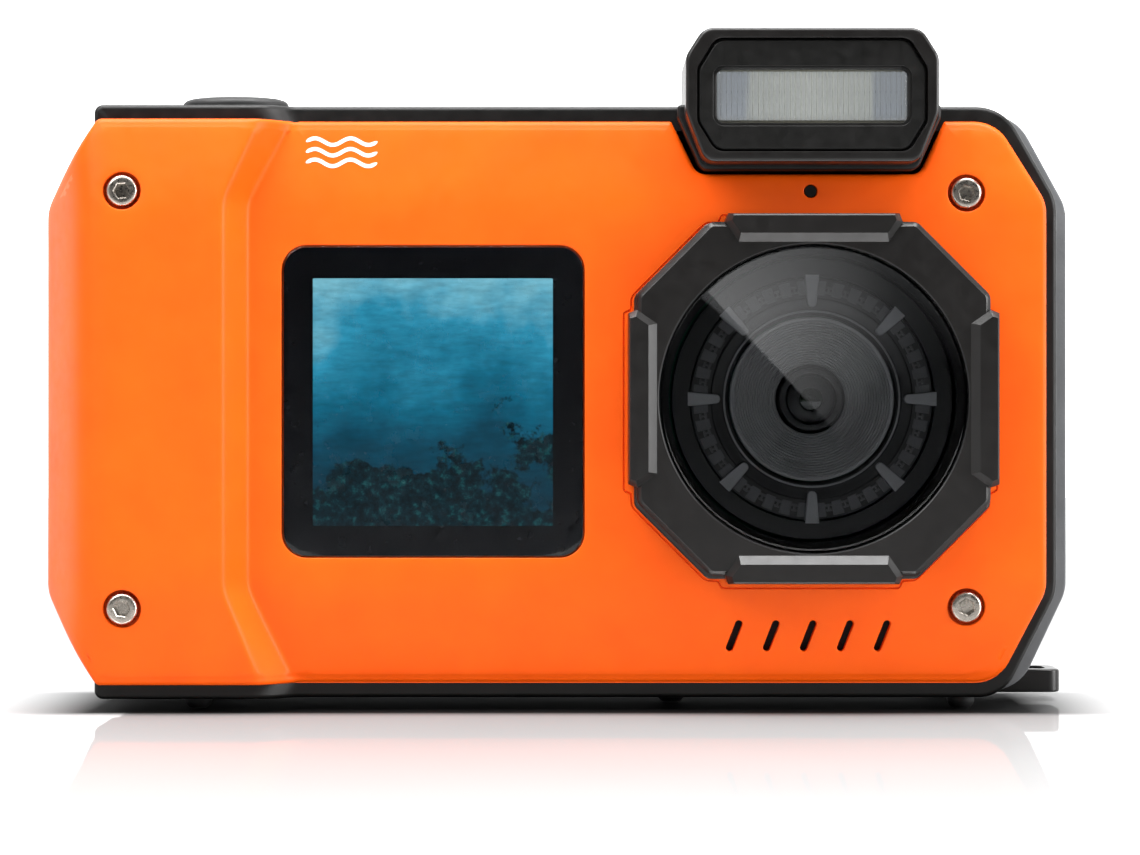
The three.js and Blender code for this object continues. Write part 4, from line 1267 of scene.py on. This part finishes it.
def flash_pieces():
    build = Build()
    outline = Outline(flash_outline(), 6, 1.2)
    bezel = Outline(octagon(FLASH_X, FLASH_Z, (12.1, 5.95), (1.9, 3.1), 1.6), 6, 1.2)
    rings = [build.ring(outline.at(offset), HOOD_FRONT + y) for offset, y in quarter(0.42, 4)]
    rings.append(build.ring(outline.at(0), -11.6))

    def hump(x, z):
        return np.clip(-6 + (71.2 - z) * 0.54, -11.0, -2.4)

    for offset, drop in ((0, 0.5), (-0.5, 0)):
        back = lambda x, z, d=drop: np.where(z > TOP, hump(x, z) - d, -11.6)
        rings.append(build.ring(outline.at(offset), back))
    build.chain(rings)
    edge = [(0.12, HOOD_FRONT), (0.03, HOOD_FRONT + 0.03), (0, HOOD_FRONT + 0.12), (0, -18.35)]
    lips = [build.ring(bezel.at(offset), y) for offset, y in edge]
    build.chain(lips, back=True)
    build.fill([rings[0], lips[0]])
    room = Outline(octagon(FLASH_X, FLASH_Z, (11.0, 5.0), (1.5, 2.4), 0.5), 6, 1.2)
    walls = [build.ring(room.at(0), -18.35), build.ring(room.at(0), -12.7)]
    build.fill([lips[-1], walls[0]])
    build.strip(walls[1], walls[0])
    build.fill([walls[1]])
    build.cap(rings[-1], back=True)
    make(build, "flash_case", "camera_body", HOOD_BLACK, ["flash_housing"], sharp=45)

    foot = Build()
    right = [(37.9, 57.65, 1.3), (40.4, 63.3, 0.5), (40.4, 64.6, 0.3)]
    left = [(12.4, 64.6, 0.3), (12.4, 63.3, 0.5), (14.9, 57.65, 1.3)]
    foot.plate(Outline(right + left, 6, 1.2), -14.9, -11.6, 0.35)
    make(foot, "flash_foot", "camera_body", FRAME_BLACK)

    face = Build()
    plate = Outline(octagon(FLASH_X, FLASH_Z, (11.95, 5.8), (1.9, 3.1), 1.5), 6, 1.2)
    opening = Outline(box_corners(FLASH_X, FLASH_Z - 0.1, 20.1, 5.65, 0.8), 6, 1.2)
    sunk = Outline(box_corners(FLASH_X, FLASH_Z - 0.1, 20.75, 6.25, 1.1), 6, 1.2)
    edge = [face.ring(plate.at(offset), -19.7 + y) for offset, y in quarter(0.3)]
    edge.append(face.ring(plate.at(0), -18.4))
    face.chain(edge)
    inner = [face.ring(sunk.at(offset), y) for offset, y in ((0.08, -19.7), (0, -19.62), (0, -19.5))]
    face.chain(inner, back=True)
    hole = [face.ring(opening.at(offset), y) for offset, y in ((0.06, -19.5), (0, -19.44), (0, -18.4))]
    face.chain(hole, back=True)
    face.fill([edge[0], inner[0]])
    face.fill([inner[-1], hole[0]])
    face.fill([edge[-1], hole[-1]], back=True)
    make(face, "flash_frame", "camera_body", FRAME_BLACK, ["flash_bezel"], sharp=45)

    flash_window()

    trough = Build()
    low, high = node_box("flash_reflector")
    section = [(-17.5, FLASH_Z - 2.9)]
    for k in range(17):
        across = -2.8 + 5.6 * k / 16
        section.append((-13.5 - across * across / 2.4, FLASH_Z + across))
    section.append((-17.5, FLASH_Z + 2.9))
    outer_section = [(-17.5, high[2]), (low[1] + 4.5, high[2]), (low[1] + 4.5, low[2]), (-17.5, low[2])]
    whole = section + outer_section
    left = trough.points([(low[0], y, z) for y, z in whole])
    right = trough.points([(high[0], y, z) for y, z in whole])
    trough.strip(left, right)
    make(trough, "flash_mirror", "camera_body", MIRROR, ["flash_reflector"], sharp=40)

    tube = Build()
    end = [(0, 9.5), (0.5, 9.48), (0.72, 9.35), (0.8, 9.1)]
    tube.turned([(r, -y) for r, y in end] + end[::-1], 0, 0, 32)
    turn = Matrix.Translation(Vector((FLASH_X, -15.4, FLASH_Z)) * MM) @ Matrix.Rotation(math.pi / 2, 4, "Z")
    make(tube, "flash_lamp", "camera_body", FLASH_CLEAR, ["flash_tube"], turn)


def flash_window():
    """The clear lens, with a rounded front edge and fine upright ribs behind."""
    build = Build()
    low, high = node_box("flash_lens")
    width, height = high[0] - low[0], high[2] - low[2]
    shape = Outline(box_corners(FLASH_X, (low[2] + high[2]) / 2, width, height, 0.7), 5, 2)
    rings = [build.ring(shape.at(offset), -19.42 + y) for offset, y in quarter(0.3)]
    rings.append(build.ring(shape.at(0), -18.3))
    build.chain(rings)
    build.fill([rings[0]])
    build.fill([rings[-1]], back=True)
    make(build, "flash_pane", "camera_body", FLASH_CLEAR, ["flash_lens"], sharp=45)
    ribs = Build()
    pitch, count = 0.56, 36
    turn = np.linspace(0, 2 * math.pi, 16, endpoint=False)
    for k in range(count):
        x = FLASH_X + (k - (count - 1) / 2) * pitch
        radius = 0.3 if k % 2 else 0.24
        loop = [(x + radius * math.cos(a), -18.0 - radius * math.sin(a)) for a in turn]
        ends = [ribs.points([(px, py, z) for px, py in loop]) for z in (low[2] + 0.2, high[2] - 0.2)]
        ribs.strip(*ends)
        ribs.cap(ends[1], back=True)
        ribs.cap(ends[0])
    make(ribs, "flash_lens_ribs", "camera_body", FLASH_RIBS_GLOWING)


# ---------------------------------------------------------------- screens
def screens():
    pane = Build()
    low, high = node_box("front_display_window")
    shape = Outline(box_corners(SCREEN_X, SCREEN_Z, high[0] - low[0], high[2] - low[2], 2.6), 10, 3)
    pane.plate(shape, low[1], high[1], 0.18, 0.05)
    make(pane, "front_screen_glass", "camera_body", SCREEN_GLASS, ["front_display_window"])

    ink = Build()
    ink_shape = Outline(box_corners(SCREEN_X, SCREEN_Z, 31.9, 32.9, 2.5), 8, 3)
    view = Outline(box_corners(SCREEN_X - 0.06, SCREEN_Z - 0.06, 25.6, 26.4, 0.1), 3, 3)
    ink.plate(ink_shape, high[1] + 0.01, high[1] + 0.04, 0, 0, [view])
    make(ink, "front_screen_mask", "camera_body", SCREEN_INK, sharp=60)

    picture = Build()
    low, high = node_box("front_display_panel")
    face = Outline(box_corners(SCREEN_X - 0.06, SCREEN_Z - 0.06, 26.6, 27.4, 0.3), 3, 2)
    picture.plate(face, -13.0, high[1], 0.02)
    make(picture, "front_screen_panel", "camera_body", PICTURE, ["front_display_panel"])

    pane = Build()
    low, high = node_box("rear_display_window")
    shape = Outline(box_corners(-MONITOR_X, MONITOR_Z, high[0] - low[0], high[2] - low[2], 2.5), 10, 4)
    pane.plate(shape, -high[1], -low[1], 0.18, 0.05)
    half_turn = Matrix.Rotation(math.pi, 4, "Z")
    nodes = ["rear_display_window"]
    make(pane, "rear_screen_glass", "camera_body", SCREEN_GLASS, nodes, half_turn)
    panel = Build()
    shape = Outline(box_corners(-MONITOR_X, MONITOR_Z, 59.6, 44.6, 0.6), 4, 4)
    panel.plate(shape, -17.2, -13.6, 0.05)
    make(panel, "rear_screen_panel", "camera_body", SCREEN_INK, ["rear_display_panel"], half_turn)


# ---------------------------------------------------------------- buttons
def top_button_size(node):
    """Middle and half sizes of the cap of a top button."""
    middle = centre_of(node)
    low, high = node_box(node)
    return middle[0], middle[1], (high[0] - low[0]) / 2 / 1.14, (high[1] - low[1]) / 2 / 1.14


DOMED = [
    (0, 0), (0.25, 0.01), (0.5, 0.04), (0.7, 0.1), (0.84, 0.2), (0.93, 0.36), (0.98, 0.58), (1.0, 0.85)
]
DISHED = [(0, 0.12), (0.5, 0.1), (0.8, 0.04), (0.9, 0.02), (0.96, 0.06), (1.0, 0.2)]


def top_button(node, profile):
    x, y, half, depth = top_button_size(node)
    low, high = node_box(node)
    levels = [(r, high[2] - d) for r, d in profile]
    levels += [(1.0, TOP - 2.7), (1.14, TOP - 2.7), (1.14, TOP - 3.5), (0.4, TOP - 3.5)]
    levels += [(0.4, low[2]), (0, low[2])]
    build = Build()
    rings = []
    for r, z in levels:
        loop = circle(0, 0, r, 56) if r else [(0, 0)]
        rings.append(build.points([(x + px * half, y + py * depth, z) for px, py in loop]))
    build.skin(rings)
    make(build, node + "_cap", node, KEY_RUBBER, [node])


def rear_button(node, x, z, width, height, corner):
    build = Build()
    low, high = node_box(node)
    shape = Outline(box_corners(-x, z, width, height, corner), 6, 1.2)
    crown = [(-1.5, 0.05), (-0.9, 0.0), *quarter(0.55, 4)]
    rings = [build.ring(shape.at(offset), -high[1] + y) for offset, y in crown]
    for offset, y in ((0, -16.2), (0.6, -16.2), (0.6, -low[1])):
        rings.append(build.ring(shape.at(offset), y))
    build.chain(rings)
    build.fill([rings[0]])
    build.fill([rings[-1]], back=True)
    half_turn = Matrix.Rotation(math.pi, 4, "Z")
    make(build, node + "_cap", node, KEY_RUBBER, [node], half_turn)


# ---------------------------------------------------------------- door, lug, feet
def side_turn():
    """Turns a piece built with its front towards -Y so that it faces -X."""
    return Matrix.Rotation(-math.pi / 2, 4, "Z")


def battery_door():
    low, high = node_box("battery_door")
    build = Build()
    middle_y, middle_z = -(low[1] + 12.3) / 2, (low[2] + high[2]) / 2
    leaf = Outline(box_corners(middle_y, middle_z, 12.3 - low[1], high[2] - low[2], 0.7), 5, 3)
    bed = Outline(box_corners(-4.1, 33.5, 4.2, 13.4, 0.5), 4, 2)
    rings = [build.ring(leaf.at(offset), low[0] + y) for offset, y in quarter(0.4, 4)]
    rings.append(build.ring(leaf.at(0), high[0]))
    build.chain(rings)
    floor = [build.ring(bed.at(offset), low[0] + y) for offset, y in ((0.15, 0), (0, 0.15), (0, 1.0))]
    build.chain(floor, back=True)
    build.fill([rings[0], floor[0]])
    build.fill([floor[-1]])
    build.fill([rings[-1]], back=True)
    make(build, "battery_cover", "battery_door", SHELL_GREY, ["battery_door"], side_turn())

    door_knuckles(low)
    latch_slider()


def door_knuckles(low):
    """Three barrels round the hinge pin, and the bridge that carries them."""
    hinge_x, hinge_y, _ = centre_of("hinge_pin")
    knuckle = Build()
    for k in range(3):
        z0 = low[2] + 0.2 + k * 13.3
        z1 = z0 + 12.8
        rings = []
        for radius, z in ((0.8, z0), (1.2, z0), (1.35, z0 + 0.15), (1.35, z1 - 0.15), (1.2, z1), (0.8, z1)):
            loop = circle(hinge_x, hinge_y, radius, 36)
            rings.append(knuckle.points([(px, py, z) for px, py in loop]))
        knuckle.chain(rings, closed=True, back=True)
    bridge_low = (-54.7, 11.9, low[2] + 0.2)
    bridge_high = (-53.7, hinge_y - 0.9, low[2] + 39.6)
    knuckle.block(bridge_low, bridge_high, 0.1)
    make(knuckle, "door_knuckles", "battery_door", SHELL_GREY)


def latch_slider():
    """The sliding catch, with five grip ridges."""
    low, high = node_box("door_latch")
    slider = Build()
    width, height = high[1] - low[1], high[2] - low[2]
    corners = box_corners(-(low[1] + high[1]) / 2, (low[2] + high[2]) / 2, width, height, 0.5)
    slider.plate(Outline(corners, 4, 2), low[0] + 0.25, high[0], 0.12)
    for k in range(5):
        z = low[2] + 2.2 + k * 1.25
        ridge = box_corners(-4.1, z, 2.9, 0.55, 0.25)
        raised(slider, ridge, low[0], low[0] + 0.4, 0.18)
    make(slider, "latch_slider", "door_latch", ORANGE, ["door_latch"], side_turn())


def under_turn():
    """Turns a piece built with its front towards -Y so that it faces down."""
    return Matrix.Rotation(math.pi / 2, 4, "X")


FOOT_PROFILE = [
    (0, 0), (0.5, 0.01), (0.85, 0.06), (1.1, 0.18), (1.32, 0.4), (1.45, 0.7), (1.5, 1.0),
    (1.5, 1.35), (0, 1.35),
]


def small_parts():
    low, high = node_box("strap_lug")
    build = Build()
    near, far = -high[1], -low[1]
    corners = [(low[0], near, 0.2), (high[0], near, 1.4), (high[0], far, 1.4), (low[0], far, 0.2)]
    tab = Outline(corners, 6, 1.5)
    slot = Outline([(51.6, -9.4, 1), (54.0, -9.4, 1), (54.0, -4.6, 1), (51.6, -4.6, 1)], 6, 1.5)
    build.plate(tab, low[2], high[2], 0.25, 0.25, [slot])
    make(build, "strap_tab", "camera_body", HOOD_BLACK, ["strap_lug"], under_turn())

    x, y, _ = centre_of("tripod_insert")
    low, high = node_box("tripod_insert")
    bush = Build()
    mouth = [(3.45, low[2]), (4.85, low[2]), (5.0, low[2] + 0.15)]
    collar = [(5.0, 3.6), (6.4, 3.6), (6.4, 4.8), (5.0, 4.8)]
    profile = [(0, 7.6), *thread_profile(7.5, low[2]), *mouth, *collar, (5.0, high[2]), (0, high[2])]
    bush.turned(profile, x, -y, 56)
    make(bush, "tripod_bush", "camera_body", BRASS, ["tripod_insert"], under_turn())

    for k in range(1, 6):
        x, y, _ = centre_of(f"foot_{k}")
        pad = Build()
        pad.turned(FOOT_PROFILE, x, -y, 40)
        make(pad, f"foot_pad_{k}", "camera_body", KEY_RUBBER, [f"foot_{k}"], under_turn())


def thread_profile(deep, mouth):
    """(radius, height) points down a threaded bore, from its bottom to its mouth."""
    points = []
    turns = 10
    pitch = (deep - mouth - 0.4) / turns
    for k in range(turns):
        start = deep - k * pitch
        points += [(3.3, start), (3.2, start - pitch * 0.4), (3.3, start - pitch * 0.8)]
    points.append((3.3, mouth + 0.15))
    return points


# ---------------------------------------------------------------- printed marks
def wave_mark():
    """Three short waves, standing where a printed mark would be."""
    build = Build()
    start, end, swing = -27.2, -19.6, 0.36
    for row in range(3):
        xs = np.linspace(start, end, 40)
        phase = (xs - start) / (end - start) * 4 * math.pi
        centre_z = 59.7 + (1 - row) * 1.15 + swing * np.sin(phase)
        slope = swing * 4 * math.pi / (end - start) * np.cos(phase)
        length = np.hypot(1, slope)
        half = 0.21 * np.sqrt(np.clip(np.minimum(xs - start, end - xs) / 0.3, 0.08, 1))
        upper = np.column_stack([xs - slope / length * half, centre_z + half / length])
        lower = np.column_stack([xs + slope / length * half, centre_z - half / length])
        loop = np.vstack([lower, upper[::-1]])
        front = build.ring(loop, on_face(-0.03))
        back = build.ring(loop, on_face(0.05))
        build.strip(front, back)
        count = len(xs)
        for i in range(count - 1):
            j = 2 * count - 1 - i
            build.faces.append((front[i], front[i + 1], front[j - 1], front[j]))
            build.faces.append((back[j], back[j - 1], back[i + 1], back[i]))
    make(build, "wave_print", "camera_body", PRINT_WHITE)


# ---------------------------------------------------------------- assembly
front_shell()
mid_frame()
rear_shell()
for index, screw in enumerate(SCREWS, 1):
    corner_screw(index, *screw)
lens_hood()
lens_pieces()
microphone()
flash_pieces()
screens()
for node, profile in (("shutter_button", DOMED), ("power_button", DISHED), ("screen_button", DISHED)):
    top_button(node, profile)
for node, size in rear_buttons().items():
    rear_button(node, *size)
battery_door()
small_parts()
wave_mark()


# ---------------------------------------------------------------- camera, lights, floor
def aim(obj, target):
    direction = Vector(target) - obj.location
    obj.rotation_euler = direction.to_track_quat("-Z", "Y").to_euler()


def area_light(name, place, target, size, power):
    data = bpy.data.lights.new(name, "AREA")
    data.shape = "RECTANGLE"
    data.size, data.size_y = size
    data.energy = power
    obj = bpy.data.objects.new(name, data)
    bpy.context.scene.collection.objects.link(obj)
    obj.location = place
    aim(obj, target)


def sheet(name, corners, material):
    mesh = bpy.data.meshes.new(name)
    mesh.from_pydata(corners, [], [tuple(range(len(corners)))])
    mesh.materials.append(material)
    obj = bpy.data.objects.new(name, mesh)
    bpy.context.scene.collection.objects.link(obj)
    return obj


def studio_world():
    world = bpy.data.worlds.new("studio")
    world.use_nodes = True
    world.node_tree.nodes["Background"].inputs["Color"].default_value = (1, 1, 1, 1)
    world.node_tree.nodes["Background"].inputs["Strength"].default_value = 0.5
    return world


def floor_material():
    """Pale board, mirror-like near the camera and self-lit far off.

    A patch under the camera is painted nearly black. It stands in for a contact shadow.
    """
    surface = Surface("floor_white")
    surface.roughness(0.75, 0.85, 60.0)
    offset = surface.add("ShaderNodeVectorMath", operation="ABSOLUTE")
    surface.link(surface.place, offset.inputs[0])
    beyond = surface.add("ShaderNodeVectorMath", operation="SUBTRACT")
    beyond.inputs[1].default_value = (0.05, 0.014, 0)
    surface.link(offset.outputs["Vector"], beyond.inputs[0])
    clamped = surface.add("ShaderNodeVectorMath", operation="MAXIMUM")
    surface.link(beyond.outputs["Vector"], clamped.inputs[0])
    narrowed = surface.add("ShaderNodeVectorMath", operation="MULTIPLY")
    narrowed.inputs[1].default_value = (0.5, 1, 1)
    surface.link(clamped.outputs["Vector"], narrowed.inputs[0])
    distance = surface.add("ShaderNodeVectorMath", operation="LENGTH")
    surface.link(narrowed.outputs["Vector"], distance.inputs[0])
    across = surface.mapped(distance.outputs["Value"], 0.0, 1.0, 0.0, 0.125)
    polished = surface.ramp(across, [(0.0, "#000000"), (0.05, "#ababab"), (1.0, "#000000")])
    tone = surface.mapped(surface.noise(60.0), 0.97, 1.0)
    shade = surface.mapped(distance.outputs["Value"], 0.0, 1.0, 0.0, 0.006)
    lit = surface.add("ShaderNodeMath", operation="MULTIPLY")
    surface.link(tone, lit.inputs[0])
    surface.link(shade, lit.inputs[1])
    white = surface.ramp(lit.outputs["Value"], [(0.0, "#080808"), (1.0, "#9e9e9e")])
    surface.link(white, surface.shader.inputs["Base Color"])
    self_lit = surface.mapped(distance.outputs["Value"], 0.0, 0.9, 0.1, 0.9)
    surface.link(self_lit, surface.shader.inputs["Emission Strength"])
    polish = surface.add("ShaderNodeBsdfGlossy")
    polish.inputs["Roughness"].default_value = 0.03
    blend = surface.add("ShaderNodeMixShader")
    surface.link(polished, blend.inputs["Fac"])
    surface.link(surface.shader.outputs["BSDF"], blend.inputs[1])
    surface.link(polish.outputs["BSDF"], blend.inputs[2])
    surface.link(blend.outputs["Shader"], surface.tree.nodes["Material Output"].inputs["Surface"])
    return surface.set(Specular_IOR_Level=0.1, Emission_Color=(1, 1, 1, 1))


CARD_PLANE = -0.3
CARD_START = Vector((0.0255, CARD_PLANE, 0.0546))
CARD_END = Vector((0.0396, CARD_PLANE, 0.0394))


def card_material():
    """Dark, with a painted wedge of light that the lens window reflects in the front view.

    The wedge starts sharply along one slanting line and fades away from its start.
    """
    surface = Surface("card_glow")
    away = surface.add("ShaderNodeVectorMath", operation="DISTANCE")
    surface.link(surface.place, away.inputs[0])
    away.inputs[1].default_value = CARD_START
    level = surface.mapped(away.outputs["Value"], 1.5, 0.0, 0.0, 0.036)
    along = (CARD_END - CARD_START).normalized()
    across = Vector((-along.z, 0, along.x))
    side = surface.add("ShaderNodeVectorMath", operation="DOT_PRODUCT")
    surface.link(surface.place, side.inputs[0])
    side.inputs[1].default_value = across
    edge = across.dot(CARD_START)
    beyond = surface.mapped(side.outputs["Value"], 0.0, 1.0, edge, edge + 0.0003)
    glow = surface.add("ShaderNodeMath", operation="MULTIPLY")
    surface.link(level, glow.inputs[0])
    surface.link(beyond, glow.inputs[1])
    surface.link(glow.outputs["Value"], surface.shader.inputs["Emission Strength"])
    return surface.set(Emission_Color=(1, 1, 1, 1), Base_Color=(0, 0, 0, 1), Specular_IOR_Level=0.0)


def studio():
    scene = bpy.context.scene
    camera_data = bpy.data.cameras.new("camera")
    camera_data.lens = 118.7
    camera_data.sensor_width = 36
    camera_data.clip_start, camera_data.clip_end = 0.01, 20
    camera = bpy.data.objects.new("camera", camera_data)
    scene.collection.objects.link(camera)
    camera.location = (0.97 * MM, -414 * MM, 30.33 * MM)
    camera.rotation_euler = (math.pi / 2, 0, 0)
    scene.camera = camera
    scene.view_settings.view_transform = "Standard"

    middle = (0, 0, 0.033)
    area_light("key", (-0.5, -0.55, 0.6), middle, (0.45, 0.45), 3.9)
    area_light("fill", (0.85, -0.3, 0.25), middle, (0.4, 0.6), 8.0)
    area_light("top", (0.0, -0.1, 0.7), middle, (0.8, 0.4), 13.0)
    scene.world = studio_world()
    floor = sheet("floor", [(-3, -1.2, 0), (3, -1.2, 0), (3, 3, 0), (-3, 3, 0)], floor_material())
    glow = Surface("backdrop_white")
    glow.link(glow.mapped(glow.noise(900.0), 1.0, 1.04), glow.shader.inputs["Emission Strength"])
    white = glow.set(Emission_Color=(1, 1, 1, 1), Base_Color=(0.8, 0.8, 0.8, 1))
    wall = sheet("backdrop", [(-3, 1.2, -0.2), (3, 1.2, -0.2), (3, 1.2, 3), (-3, 1.2, 3)], white)
    reach = [(x, CARD_PLANE, z) for x, z in ((-0.26, 0.001), (0.26, 0.001), (0.26, 0.2), (-0.26, 0.2))]
    card = sheet("card", reach, card_material())
    card.visible_camera = False
    card.visible_diffuse = False
    card.visible_shadow = False


studio()
